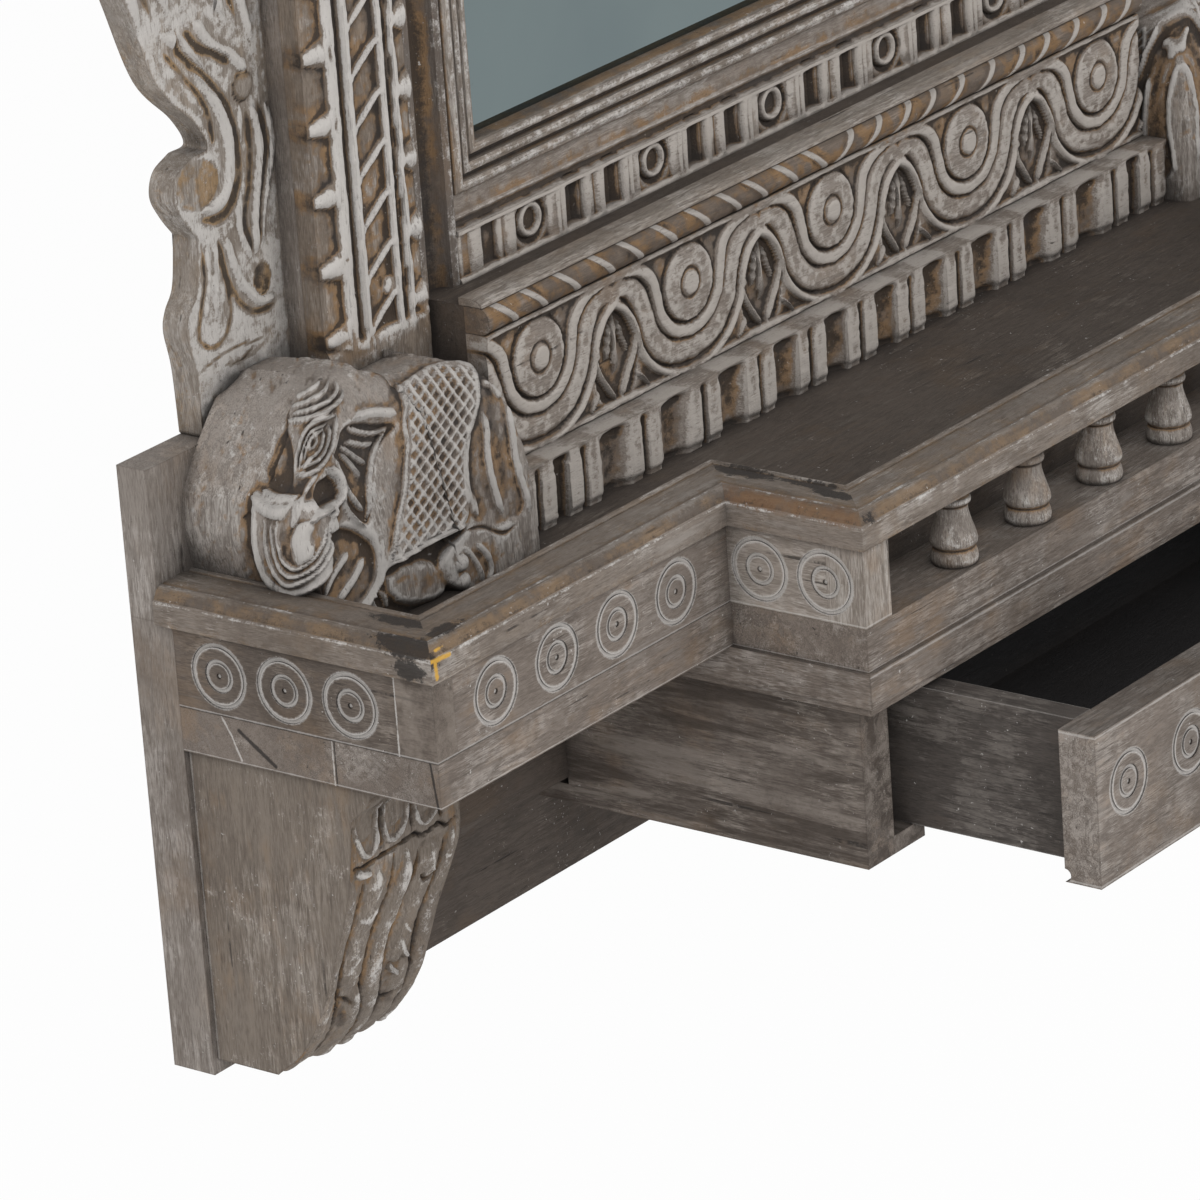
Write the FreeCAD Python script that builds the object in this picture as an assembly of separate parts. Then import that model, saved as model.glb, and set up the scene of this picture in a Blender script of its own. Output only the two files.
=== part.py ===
import FreeCAD, Part
import os
from FreeCAD import Vector

# Jharokha mirror. Millimetres, +Z up, front towards -Y.
# The wall face is y = 0, the middle plane is x = 0 and z = 0 is the top of the shelf's base board.
# A depth is measured out from the wall, so a depth of d lies at y = -d.

# Shelf plan
overall_width = 1028.0
bay_width = 540.0
shelf_depth = 192.0
bay_projection = 85.0

# Shelf boards
base_thickness = 24.0
frieze_height = 44.0
frieze_thickness = 16.0
newel_width = 23.0
floor_thickness = 18.0
floor_lift = 9.0
floor_setback = 43.0
bearer_width = 22.0

# Cap moulding on the friezes
cap_width = 34.0
cap_overhang = 4.0
cap_height = 20.0
cap_fascia_height = 12.0
cap_shoulder = 6.0

# Rings cut in the friezes, the drawer front and the ring bands
ring_outer_radius = 17.5
ring_inner_radius = 9.0
ring_groove_width = 2.2
ring_groove_depth = 0.9
ring_dot_radius = 1.5
ring_rise = 21.5
end_ring_first = 53.0
end_ring_pitch = 42.0
end_ring_count = 3
front_ring_first = 49.0
front_ring_pitch = 50.0
front_ring_count = 4
return_ring_first = 20.0
return_ring_pitch = 41.0
return_ring_count = 2

# Balusters under the bay rail
baluster_count = 6
baluster_pitch = 68.0
baluster_radius = 12.8
baluster_setback = 14.0

# Back of the shelf: the posts, the board between them and the ledger that carries the drawer housing
back_thickness = 27.0
upper_post_thickness = 19.0
upper_post_height = 81.0
post_width = 62.0
post_drop = 204.0
ledger_height = 102.0
ledger_thickness = 41.0
ledger_gap = 0.5

# Brackets under the ends
bracket_width = 90.0
bracket_inset = 3.5
bracket_reach = 119.0
bracket_height = 179.0

# Drawer housing under the bay
band_height = 19.0
band_overhang = 2.5
band_fillet_height = 5.0
band_fillet_recess = 3.0
cheek_recess = 11.0
cheek_front_recess = 15.5
cheek_thickness = 24.0
cheek_height = 106.0
runner_thickness = 10.0
runner_width = 51.0

# Drawer
drawer_front_thickness = 22.0
drawer_top_gap = 3.0
drawer_lip = 5.5
drawer_side_gap = 2.0
drawer_side_inset = 15.0
drawer_side_thickness = 15.0
drawer_back_thickness = 12.0
drawer_bottom_thickness = 5.0
drawer_bottom_rise = 4.0
drawer_length = 175.0
drawer_lift = 0.3
drawer_stop_gap = 0.5
drawer_open = 104.0
finger_groove_radius = 3.6
drawer_ring_first = 29.0
drawer_ring_drop = 35.0
drawer_ring_count = 8

# Elephants
elephant_inset = 21.0
elephant_height = 130.0
elephant_depth = 104.0
elephant_rounding = 14.0
elephant_gap = 0.5

# Apron between the elephants
apron_inset = 5.0
core_depth = 60.0
flute_height = 37.0
flute_depth = 89.0
flute_pair_count = 11
flute_end_inset = 54.5
flute_cut_radius = 2.4
flute_hollow_width = 22.0
flute_hollow_depth = 6.0
guilloche_height = 73.0
guilloche_depth = 75.0
roundel_count = 5
roundel_end_inset = 43.5
roundel_drop = 25.0
roundel_radius = 21.0
roundel_dish = 2.5
boss_radius = 4.5
rope_height = 15.0
rope_depth = 78.0
ovolo_height = 4.0
ovolo_width = 15.0
ovolo_depth = 72.0

# Mirror frame, set in from the shelf's ends
frame_inset = 122.0
pilaster_width = 81.0
pilaster_depth = 42.0
pilaster_groove_depth = 2.0
cove_width = 32.0
cove_depth = 38.0
cove_radius = 10.0
ring_band_height = 29.0
ring_band_depth = 39.0
flat_band_height = 19.0
flat_band_depth = 35.0
band_ring_count = 5
band_ring_end_inset = 63.0
band_ring_radius = 8.0
reed_width = 23.0
reed_count = 3
reed_depth = 41.0
reed_step = 2.5
sight_height = 620.0
glass_rebate = 8.0
glass_thickness = 4.0
glass_gap = 0.5
backing_thickness = 6.0

# Scroll wings
wing_width = 112.0
wing_height = 560.0

# Head of the frame
capital_height = 48.0
capital_overhang = 8.0
capital_depth = 52.0
entablature_height = 62.0
entablature_depth = 54.0
eave_overhang = 58.0
eave_depth = 124.0
eave_thickness = 14.0
eave_fall = 30.0
crest_inset = 72.0
crest_height = 150.0
crest_thickness = 22.0

# Wall hangers, one in each stile
hanger_inset = 92.0
hanger_drop = 40.0
hanger_width = 60.0
hanger_height = 26.0
hanger_thickness = 2.0
hanger_hole_radius = 4.0
hook_room_width = 20.0
hook_room_depth = 9.0
screw_spacing = 44.0
screw_radius = 1.75
screw_head_radius = 3.4
screw_head_thickness = 1.2
screw_length = 14.0
screw_fit = 0.05

# How far a cutting tool runs past the face that it cuts
overrun = 5.0

# Places that several pieces share
half_width = overall_width / 2
half_bay = bay_width / 2
bay_depth = shelf_depth + bay_projection
floor_top = floor_lift + floor_thickness
cap_top = frieze_height + cap_height
cap_inner = half_width + cap_overhang - cap_width
half_frame = half_width - frame_inset
hanger_spacing = 2 * (half_frame - hanger_inset)
pilaster_inner = half_frame - pilaster_width
cove_inner = pilaster_inner - cove_width
sight_half = cove_inner - reed_width
opening_half = sight_half + glass_rebate
apron_half = pilaster_inner - apron_inset
rope_bottom = floor_top + flute_height + guilloche_height
apron_top = rope_bottom + rope_height
sight_bottom = apron_top + ring_band_height + flat_band_height + reed_width
sight_top = sight_bottom + sight_height
capital_top = sight_top + reed_width + flat_band_height + ring_band_height
pilaster_top = capital_top - capital_height
entablature_top = capital_top + entablature_height
frame_top = entablature_top + eave_thickness
upper_post_top = frieze_height + upper_post_height
ledger_depth = back_thickness + ledger_thickness
cheek_outer = half_bay - cheek_recess
cheek_inner = cheek_outer - cheek_thickness
cheek_front = bay_depth - cheek_front_recess
runner_top = -base_thickness - cheek_height
band_bottom = -base_thickness - band_height - band_fillet_height
drawer_half = cheek_inner - drawer_side_gap
drawer_side_outer = drawer_half - drawer_side_inset
drawer_side_inner = drawer_side_outer - drawer_side_thickness
drawer_floor = runner_top + drawer_lift
drawer_top = band_bottom - drawer_top_gap
drawer_shut_face = cheek_front + drawer_stop_gap
drawer_back_face = drawer_shut_face + drawer_open
drawer_face = drawer_back_face + drawer_front_thickness
drawer_tail = drawer_back_face - drawer_length

left_ward = Vector(-1, 0, 0)
front_ward = Vector(0, -1, 0)
upward = Vector(0, 0, 1)


def slab(x0, x1, depth0, depth1, z0, z1):
    return Part.makeBox(x1 - x0, depth1 - depth0, z1 - z0, Vector(x0, -depth1, z0))


def mirrored(shape):
    return shape.mirror(Vector(0, 0, 0), Vector(1, 0, 0))


def save(name, shape):
    shape.exportStep("parts/" + name + ".step")


def save_pair(name, left_shape):
    save(name + "_left", left_shape)
    save(name + "_right", mirrored(left_shape))


def save_twins(name, left_shape):
    save(name, Part.makeCompound([left_shape, mirrored(left_shape)]))


def closed_wire(points):
    return Part.makePolygon(points + points[:1])


def smooth_edge(points):
    curve = Part.BSplineCurve()
    curve.interpolate(points)
    return curve.toShape()


def moulding(profile, start, finish, outward, rise, start_mitre=0, finish_mitre=0):
    # A profile of (out, up) pairs run from start to finish. A mitre of 1 or -1 cuts that end at 45 degrees.
    along = finish - start
    along.normalize()
    ends = []
    for corner, mitre in ((start, start_mitre), (finish, finish_mitre)):
        points = [corner + outward * out + along * (out * mitre) + rise * up for out, up in profile]
        ends.append(closed_wire(points))
    return Part.makeLoft(ends, True, True)


def ring_groove(radius, centre, facing):
    base = centre - facing * ring_groove_depth
    length = ring_groove_depth + overrun
    outer = Part.makeCylinder(radius, length, base, facing)
    return outer.cut(Part.makeCylinder(radius - ring_groove_width, length, base, facing))


def cut_rings(board, centres, facing):
    # Two turned grooves and a centre dot at each place, cut into the face that looks along facing.
    for centre in centres:
        board = board.cut(ring_groove(ring_outer_radius, centre, facing))
        board = board.cut(ring_groove(ring_inner_radius, centre, facing))
        base = centre - facing * ring_groove_depth
        board = board.cut(Part.makeCylinder(ring_dot_radius, ring_groove_depth + overrun, base, facing))
    return board


def frieze_end():
    inner = -half_width + frieze_thickness
    board = slab(-half_width, inner, back_thickness, shelf_depth, 0, frieze_height)
    depths = [shelf_depth - end_ring_first - i * end_ring_pitch for i in range(end_ring_count)]
    return cut_rings(board, [Vector(-half_width, -depth, ring_rise) for depth in depths], left_ward)


def frieze_front():
    inner = shelf_depth - frieze_thickness
    board = slab(-half_width + frieze_thickness, -half_bay, inner, shelf_depth, 0, frieze_height)
    places = [-half_width + front_ring_first + i * front_ring_pitch for i in range(front_ring_count)]
    return cut_rings(board, [Vector(x, -shelf_depth, ring_rise) for x in places], front_ward)


def return_ring_centres():
    depths = [shelf_depth + return_ring_first + i * return_ring_pitch for i in range(return_ring_count)]
    return [Vector(-half_bay, -depth, ring_rise) for depth in depths]


def frieze_return():
    start = shelf_depth - frieze_thickness
    inner = -half_bay + frieze_thickness
    board = slab(-half_bay, inner, start, bay_depth - newel_width, 0, frieze_height)
    return cut_rings(board, return_ring_centres(), left_ward)


def newel_post():
    # The return's last ring runs on over the post.
    inner = -half_bay + newel_width
    post = slab(-half_bay, inner, bay_depth - newel_width, bay_depth, 0, frieze_height)
    return cut_rings(post, return_ring_centres()[-1:], left_ward)


def cap_profile():
    # A plain fascia below, and a shoulder over it that rounds inwards to the flat top.
    # The shoulder's pairs are shares of its width and of its height.
    shoulder_shares = ((0.0, 0.0), (0.15, 0.35), (0.42, 0.75), (1.0, 1.0))
    inner = cap_overhang - cap_width
    shoulder_height = cap_height - cap_fascia_height
    profile = [(inner, 0), (cap_overhang, 0)]
    for across, up in shoulder_shares:
        profile.append((cap_overhang - across * cap_shoulder, cap_fascia_height + up * shoulder_height))
    profile.append((inner, cap_height))
    return profile


def save_caps():
    profile = cap_profile()
    wall = Vector(-half_width, -upper_post_thickness, frieze_height)
    corner = Vector(-half_width, -shelf_depth, frieze_height)
    inside = Vector(-half_bay, -shelf_depth, frieze_height)
    bay_left = Vector(-half_bay, -bay_depth, frieze_height)
    bay_right = Vector(half_bay, -bay_depth, frieze_height)
    save_pair("cap_end", moulding(profile, wall, corner, left_ward, upward, 0, 1))
    save_pair("cap_front", moulding(profile, corner, inside, front_ward, upward, -1, -1))
    save_twins("cap_returns", moulding(profile, inside, bay_left, left_ward, upward, 1, 1))
    save("bay_rail", moulding(profile, bay_left, bay_right, front_ward, upward, -1, 1))


def plan_board(inset, bay_front, z0, z1):
    # The shelf's plan, a wide board with the bay in front of it, drawn in by inset at the ends and front.
    wide = slab(-half_width + inset, half_width - inset, back_thickness, shelf_depth - inset, z0, z1)
    bay = slab(-half_bay + inset, half_bay - inset, back_thickness, bay_front, z0, z1)
    return wide.fuse(bay).removeSplitter()


def floor_bearers():
    ends = half_width - frieze_thickness
    bay_ends = half_bay - frieze_thickness
    back_row = back_thickness
    front_row = shelf_depth - frieze_thickness - bearer_width
    bay_row = bay_depth - floor_setback - bearer_width
    rows = ((ends, back_row), (ends, front_row), (bay_ends, bay_row))
    return Part.makeCompound([slab(-half, half, row, row + bearer_width, 0, floor_lift) for half, row in rows])


def baluster():
    # The turning's profile from the foot up: shares of the clear height and of the widest radius.
    profile_shares = (
        (0.0, 0.87), (0.08, 0.98), (0.14, 0.95), (0.21, 0.85), (0.26, 0.97), (0.31, 0.99), (0.42, 0.89),
        (0.57, 0.73), (0.69, 0.65), (0.74, 0.62), (0.77, 0.77), (0.81, 0.79), (0.86, 0.68), (1.0, 0.75),
    )
    points = [Vector(0, 0, 0)]
    points += [Vector(across * baluster_radius, 0, up * frieze_height) for up, across in profile_shares]
    points.append(Vector(0, 0, frieze_height))
    return Part.Face(closed_wire(points)).revolve(Vector(0, 0, 0), upward, 360)


def balusters():
    first = -baluster_pitch * (baluster_count - 1) / 2
    turned = []
    for i in range(baluster_count):
        post = baluster()
        post.translate(Vector(first + i * baluster_pitch, baluster_setback - bay_depth, 0))
        turned.append(post)
    return Part.makeCompound(turned)


def save_shelf():
    save("base_board", plan_board(0, bay_depth, -base_thickness, 0))
    save("floor_board", plan_board(frieze_thickness, bay_depth - floor_setback, floor_lift, floor_top))
    save("floor_bearers", floor_bearers())
    save_twins("frieze_ends", frieze_end())
    save_twins("frieze_fronts", frieze_front())
    save_twins("frieze_returns", frieze_return())
    save_twins("newel_posts", newel_post())
    save("balusters", balusters())


def save_back():
    board_half = half_width - post_width
    save_twins("lower_posts", slab(-half_width, -board_half, 0, back_thickness, -post_drop, frieze_height))
    save("back_board", slab(-board_half, board_half, 0, back_thickness, -post_drop, frieze_height))
    upper = slab(-half_width, -half_frame, 0, upper_post_thickness, frieze_height, upper_post_top)
    save_twins("upper_posts", upper)
    ledger_half = half_width - bracket_inset - bracket_width - ledger_gap
    ledger_bottom = -base_thickness - ledger_height
    ledger = slab(-ledger_half, ledger_half, back_thickness, ledger_depth, ledger_bottom, -base_thickness)
    save("shelf_ledger", ledger)


def bracket():
    # The side outline from the top front corner to the foot: shares of the reach and of the height.
    # A short crown and a long sweep meet at a notch, and the foot is flat.
    crown_shares = ((1.0, 0.0), (0.96, 0.06), (0.87, 0.112))
    sweep_shares = ((0.87, 0.112), (0.82, 0.352), (0.715, 0.56), (0.615, 0.735), (0.49, 0.875), (0.34, 0.965))
    x = -half_width + bracket_inset
    edges = []
    for shares in (crown_shares, sweep_shares):
        points = []
        for out, down in shares:
            points.append(Vector(x, -back_thickness - out * bracket_reach, -base_thickness - down * bracket_height))
        edges.append(smooth_edge(points))
    front_foot = points[-1]
    foot = Vector(x, -back_thickness, front_foot.z)
    heel = Vector(x, -back_thickness, -base_thickness)
    toe = Vector(x, -back_thickness - bracket_reach, -base_thickness)
    edges += [Part.makeLine(front_foot, foot), Part.makeLine(foot, heel), Part.makeLine(heel, toe)]
    return Part.Face(Part.Wire(edges)).extrude(Vector(bracket_width, 0, 0))


def band_profile():
    # A square band over a small set-back fillet, measured out from the bay's face and down from the base board.
    fillet_out = band_overhang - band_fillet_recess
    return [
        (-cheek_recess, 0),
        (band_overhang, 0),
        (band_overhang, -band_height),
        (fillet_out, -band_height),
        (fillet_out, -band_height - band_fillet_height),
        (-cheek_recess, -band_height - band_fillet_height),
    ]


def save_housing():
    profile = band_profile()
    back = Vector(-half_bay, -ledger_depth, -base_thickness)
    left = Vector(-half_bay, -bay_depth, -base_thickness)
    right = Vector(half_bay, -bay_depth, -base_thickness)
    save_twins("housing_band_sides", moulding(profile, back, left, left_ward, upward, 0, 1))
    save("housing_band_front", moulding(profile, left, right, front_ward, upward, -1, 1))
    save_twins("housing_cheeks",
               slab(-cheek_outer, -cheek_inner, ledger_depth, cheek_front, runner_top, -base_thickness))
    runner_bottom = runner_top - runner_thickness
    runner_inner = runner_width - cheek_outer
    save_twins("drawer_runners",
               slab(-cheek_outer, runner_inner, back_thickness, cheek_front, runner_bottom, runner_top))


def drawer_front():
    board = slab(-drawer_half, drawer_half, drawer_back_face, drawer_face, drawer_floor - drawer_lip, drawer_top)
    start = Vector(-drawer_half - overrun, -drawer_back_face, drawer_floor - finger_groove_radius / 2)
    length = 2 * (drawer_half + overrun)
    board = board.cut(Part.makeCylinder(finger_groove_radius, length, start, Vector(1, 0, 0)))
    first = drawer_ring_first - drawer_half
    pitch = -2 * first / (drawer_ring_count - 1)
    height = drawer_top - drawer_ring_drop
    centres = [Vector(first + i * pitch, -drawer_face, height) for i in range(drawer_ring_count)]
    return cut_rings(board, centres, front_ward)


def save_drawer():
    save("drawer_front", drawer_front())
    side = slab(-drawer_side_outer, -drawer_side_inner, drawer_tail, drawer_back_face, drawer_floor, drawer_top)
    save_pair("drawer_side", side)
    inside = drawer_tail + drawer_back_thickness
    save("drawer_back", slab(-drawer_side_inner, drawer_side_inner, drawer_tail, inside, drawer_floor, drawer_top))
    bottom = drawer_floor + drawer_bottom_rise
    top = bottom + drawer_bottom_thickness
    save("drawer_bottom", slab(-drawer_side_inner, drawer_side_inner, inside, drawer_back_face, bottom, top))


def elephant():
    # The kneeling animal's outline seen from the front, head at the shelf's end.
    # Each pair is a share of its length from the forehead and a share of its height.
    outline_shares = (
        (0.048, 0.0), (0.037, 0.29), (0.016, 0.46), (0.027, 0.60), (0.09, 0.73), (0.166, 0.86), (0.246, 0.954),
        (0.31, 1.0), (0.39, 0.977), (0.524, 0.923), (0.711, 0.877), (0.818, 0.823), (0.893, 0.754),
        (0.936, 0.638), (0.973, 0.446), (1.0, 0.177), (1.0, 0.0),
    )
    # The flank leans back and rounds over: shares of the depth, of the rounding and of the height.
    section_shares = ((0.0, 0.0, 1.0), (0.70, 0.15, 1.0), (0.89, 0.5, 0.82), (1.0, 1.0, 0.52))
    left = -half_width + elephant_inset
    length = half_width - elephant_inset - apron_half
    sections = []
    for out, rounding, tall in section_shares:
        depth = upper_post_thickness + out * (elephant_depth - upper_post_thickness)
        inset = rounding * elephant_rounding
        points = []
        for along, up in outline_shares:
            x = left + inset + along * (length - 2 * inset)
            points.append(Vector(x, -depth, floor_top + up * tall * elephant_height))
        sections.append(closed_wire(points))
    body = Part.makeLoft(sections, True, True)
    cap_space = slab(-half_width, elephant_gap - cap_inner, 0, shelf_depth, 0, cap_top + elephant_gap)
    post_space = slab(-half_width, 0, 0, back_thickness, 0, frieze_height)
    pilaster_space = slab(-half_frame - elephant_gap, 0, 0, pilaster_depth + elephant_gap, 0, pilaster_top)
    return body.cut(cap_space).cut(post_space).cut(pilaster_space)


def flute_border():
    # Pairs of upright ridges with a shallow hollow between one pair and the next.
    half = apron_half - elephant_gap
    board = slab(-half, half, core_depth, flute_depth, floor_top, floor_top + flute_height)
    first = flute_end_inset - half
    pitch = -2 * first / (flute_pair_count - 1)
    height = flute_height + 2 * overrun
    hollow_half = flute_hollow_width / 2
    hollow_radius = (hollow_half ** 2 + flute_hollow_depth ** 2) / (2 * flute_hollow_depth)
    hollow_centre = flute_depth - flute_hollow_depth + hollow_radius
    for i in range(flute_pair_count):
        groove = Vector(first + i * pitch, -flute_depth, floor_top - overrun)
        hollow = Vector(first + (i - 1 / 2) * pitch, -hollow_centre, floor_top - overrun)
        board = board.cut(Part.makeCylinder(flute_cut_radius, height, groove))
        board = board.cut(Part.makeCylinder(hollow_radius, height, hollow))
    last = Vector(-first + pitch / 2, -hollow_centre, floor_top - overrun)
    return board.cut(Part.makeCylinder(hollow_radius, height, last))


def guilloche_frieze():
    bottom = floor_top + flute_height
    half = apron_half - elephant_gap
    board = slab(-half, half, core_depth, guilloche_depth, bottom, rope_bottom)
    first = roundel_end_inset - half
    pitch = -2 * first / (roundel_count - 1)
    length = roundel_dish + overrun
    for i in range(roundel_count):
        centre = Vector(first + i * pitch, roundel_dish - guilloche_depth, rope_bottom - roundel_drop)
        dish = Part.makeCylinder(roundel_radius, length, centre, front_ward)
        board = board.cut(dish.cut(Part.makeCylinder(boss_radius, length, centre, front_ward)))
    return board


def rope_moulding():
    radius = rope_height / 2
    half = apron_half - elephant_gap
    centre = rope_depth - radius
    bed = slab(-half, half, core_depth, centre, rope_bottom, apron_top)
    axis_start = Vector(-half, -centre, rope_bottom + radius)
    return bed.fuse(Part.makeCylinder(radius, 2 * half, axis_start, Vector(1, 0, 0))).removeSplitter()


def ovolo_moulding():
    # The round of the front edge: shares of the width from the back and of the height.
    round_shares = ((0.0, 0.0), (1.0, 0.0), (0.94, 0.5), (0.76, 0.9), (0.5, 1.0), (0.0, 1.0))
    half = apron_half - elephant_gap
    back = ovolo_depth - ovolo_width
    profile = [(back + out * ovolo_width, apron_top + up * ovolo_height) for out, up in round_shares]
    return moulding(profile, Vector(-half, 0, 0), Vector(half, 0, 0), front_ward, upward)


def save_apron():
    half = apron_half - elephant_gap
    save("apron_core", slab(-half, half, back_thickness, core_depth, floor_top, apron_top))
    save("flute_border", flute_border())
    save("guilloche_frieze", guilloche_frieze())
    save("rope_moulding", rope_moulding())
    save("ovolo_moulding", ovolo_moulding())


def ring_band(edge, inward):
    # A raised band that starts at edge, and a lower flat on the side towards the glass.
    step = edge + inward * ring_band_height
    far = step + inward * flat_band_height
    raised = slab(-cove_inner, cove_inner, back_thickness, ring_band_depth, min(edge, step), max(edge, step))
    flat = slab(-cove_inner, cove_inner, back_thickness, flat_band_depth, min(step, far), max(step, far))
    band = raised.fuse(flat).removeSplitter()
    first = band_ring_end_inset - cove_inner
    pitch = -2 * first / (band_ring_count - 1)
    for i in range(band_ring_count):
        centre = Vector(first + i * pitch, -ring_band_depth, (edge + step) / 2)
        band = band.cut(ring_groove(band_ring_radius, centre, front_ward))
    return band


def reed_profile():
    # Reeds that step down towards the glass: out from the sight edge, and depth from the wall.
    crown_shares = (0.25, 0.75)
    pitch = reed_width / reed_count
    points = [(0, back_thickness)]
    for i in range(reed_count):
        crest = reed_depth - (reed_count - 1 - i) * reed_step
        points.append((i * pitch, crest - reed_step))
        points += [((i + share) * pitch, crest) for share in crown_shares]
    points.append((reed_width, reed_depth - reed_step))
    points.append((reed_width, back_thickness))
    return points


def save_reeds():
    profile = reed_profile()
    bottom_left = Vector(-sight_half, 0, sight_bottom)
    bottom_right = Vector(sight_half, 0, sight_bottom)
    top_left = Vector(-sight_half, 0, sight_top)
    top_right = Vector(sight_half, 0, sight_top)
    downward = Vector(0, 0, -1)
    save("reed_bottom", moulding(profile, bottom_left, bottom_right, downward, front_ward, -1, 1))
    save("reed_top", moulding(profile, top_left, top_right, upward, front_ward, -1, 1))
    save_pair("reed", moulding(profile, bottom_left, top_left, left_ward, front_ward, -1, 1))


def cove_strip():
    strip = slab(-pilaster_inner, -cove_inner, back_thickness, cove_depth, apron_top, capital_top)
    centre = Vector((-pilaster_inner - cove_inner) / 2, -cove_depth, apron_top - overrun)
    return strip.cut(Part.makeCylinder(cove_radius, capital_top - apron_top + 2 * overrun, centre))


def pilaster():
    # A shaft with two sunk lines, standing on the shelf floor.
    line_shares = (0.30, 0.66)
    shaft = slab(-half_frame, -pilaster_inner, back_thickness, pilaster_depth, floor_top, pilaster_top)
    sunk = pilaster_depth - pilaster_groove_depth
    for share in line_shares:
        x = -half_frame + share * pilaster_width
        line = slab(x, x + ring_groove_width, sunk, pilaster_depth + overrun, floor_top - overrun,
                    pilaster_top + overrun)
        shaft = shaft.cut(line)
    return shaft


def screw_places():
    # The left hanger's two screws, on the wall face.
    height = frame_top - hanger_drop
    return [Vector((side * screw_spacing - hanger_spacing) / 2, 0, height) for side in (-1, 1)]


def hanger_blank(width, height, depth0, depth1):
    middle = -hanger_spacing / 2
    level = frame_top - hanger_drop
    return slab(middle - width / 2, middle + width / 2, depth0, depth1, level - height / 2, level + height / 2)


def hanger_seat():
    # What the left stile loses for its plate, for a wall hook behind the plate, and for the screws.
    room_end = hanger_thickness + hook_room_depth
    seat = hanger_blank(hanger_width, hanger_height, -overrun, hanger_thickness)
    seat = seat.fuse(hanger_blank(hook_room_width, hook_room_width, 0, room_end))
    for place in screw_places():
        seat = seat.fuse(Part.makeCylinder(screw_radius + screw_fit, screw_length + screw_fit, place, front_ward))
    return seat


def hanger_plate():
    plate = hanger_blank(hanger_width, hanger_height, 0, hanger_thickness)
    hook_place = Vector(-hanger_spacing / 2, overrun, frame_top - hanger_drop)
    through = hanger_thickness + 2 * overrun
    plate = plate.cut(Part.makeCylinder(hanger_hole_radius, through, hook_place, front_ward))
    for place in screw_places():
        start = place - front_ward * overrun
        sink = screw_head_thickness + screw_fit + overrun
        plate = plate.cut(Part.makeCylinder(screw_radius + screw_fit, through, start, front_ward))
        plate = plate.cut(Part.makeCylinder(screw_head_radius + screw_fit, sink, start, front_ward))
    return plate


def hanger_screws():
    screws = []
    for place in screw_places():
        shank = Part.makeCylinder(screw_radius, screw_length, place, front_ward)
        head = Part.makeCylinder(screw_head_radius, screw_head_thickness, place, front_ward)
        screws.append(shank.fuse(head))
    return Part.makeCompound(screws)


def save_frame():
    stile = slab(-half_frame, -opening_half, 0, back_thickness, frieze_height, frame_top)
    save_pair("stile", stile.cut(hanger_seat()))
    rail_edge = sight_bottom - glass_rebate
    save("rail_bottom", slab(-opening_half, opening_half, 0, back_thickness, frieze_height, rail_edge))
    rail_edge = sight_top + glass_rebate
    save("rail_top", slab(-opening_half, opening_half, 0, back_thickness, rail_edge, frame_top))
    save("ring_band_bottom", ring_band(apron_top, 1))
    save("ring_band_top", ring_band(capital_top, -1))
    save_reeds()
    save_twins("cove_strips", cove_strip())
    save_pair("pilaster", pilaster())
    save_twins("hanger_plates", hanger_plate())
    save_twins("hanger_screws", hanger_screws())


def save_glazing():
    half = opening_half - glass_gap
    low = sight_bottom - glass_rebate + glass_gap
    high = sight_top + glass_rebate - glass_gap
    glass_back = back_thickness - glass_thickness
    save("mirror_glass", slab(-half, half, glass_back, back_thickness, low, high))
    save("mirror_backing", slab(-half, half, glass_back - backing_thickness, glass_back, low, high))


def wing():
    # The scrolled outer edge from the foot to the top: shares of the wing's width and of its height.
    # Each stretch is one smooth curve, and the stretches meet at the notches of the scroll.
    stretches_shares = (
        ((0.357, 0.0), (0.344, 0.063), (0.312, 0.10), (0.335, 0.118), (0.40, 0.138), (0.437, 0.184)),
        ((0.437, 0.184), (0.357, 0.205), (0.304, 0.227), (0.34, 0.248), (0.455, 0.259)),
        ((0.455, 0.259), (0.562, 0.262), (0.487, 0.289), (0.268, 0.336), (0.103, 0.42)),
        ((0.103, 0.42), (0.0, 0.52), (0.04, 0.62), (0.22, 0.70), (0.42, 0.735)),
        ((0.42, 0.735), (0.30, 0.76), (0.27, 0.80), (0.36, 0.84), (0.52, 0.855)),
        ((0.52, 0.855), (0.66, 0.92), (0.84, 0.97), (1.0, 1.0)),
    )
    left = -half_frame - wing_width
    edges = []
    for shares in stretches_shares:
        points = []
        for across, up in shares:
            points.append(Vector(left + across * wing_width, 0, upper_post_top + up * wing_height))
        edges.append(smooth_edge(points))
    top = Vector(-half_frame, 0, upper_post_top + wing_height)
    foot = Vector(-half_frame, 0, upper_post_top)
    edges += [Part.makeLine(top, foot), Part.makeLine(foot, edges[0].Vertexes[0].Point)]
    return Part.Face(Part.Wire(edges)).extrude(front_ward * upper_post_thickness)


def capital():
    # A block that flares outwards and forwards from the pilaster.
    sections = []
    flare = ((0, pilaster_depth, pilaster_top), (capital_overhang, capital_depth, capital_top))
    for spread, depth, z in flare:
        outer = -half_frame - spread
        sections.append(closed_wire([
            Vector(outer, -back_thickness, z),
            Vector(-pilaster_inner, -back_thickness, z),
            Vector(-pilaster_inner, -depth, z),
            Vector(outer, -depth, z),
        ]))
    return Part.makeLoft(sections, True, True)


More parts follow.
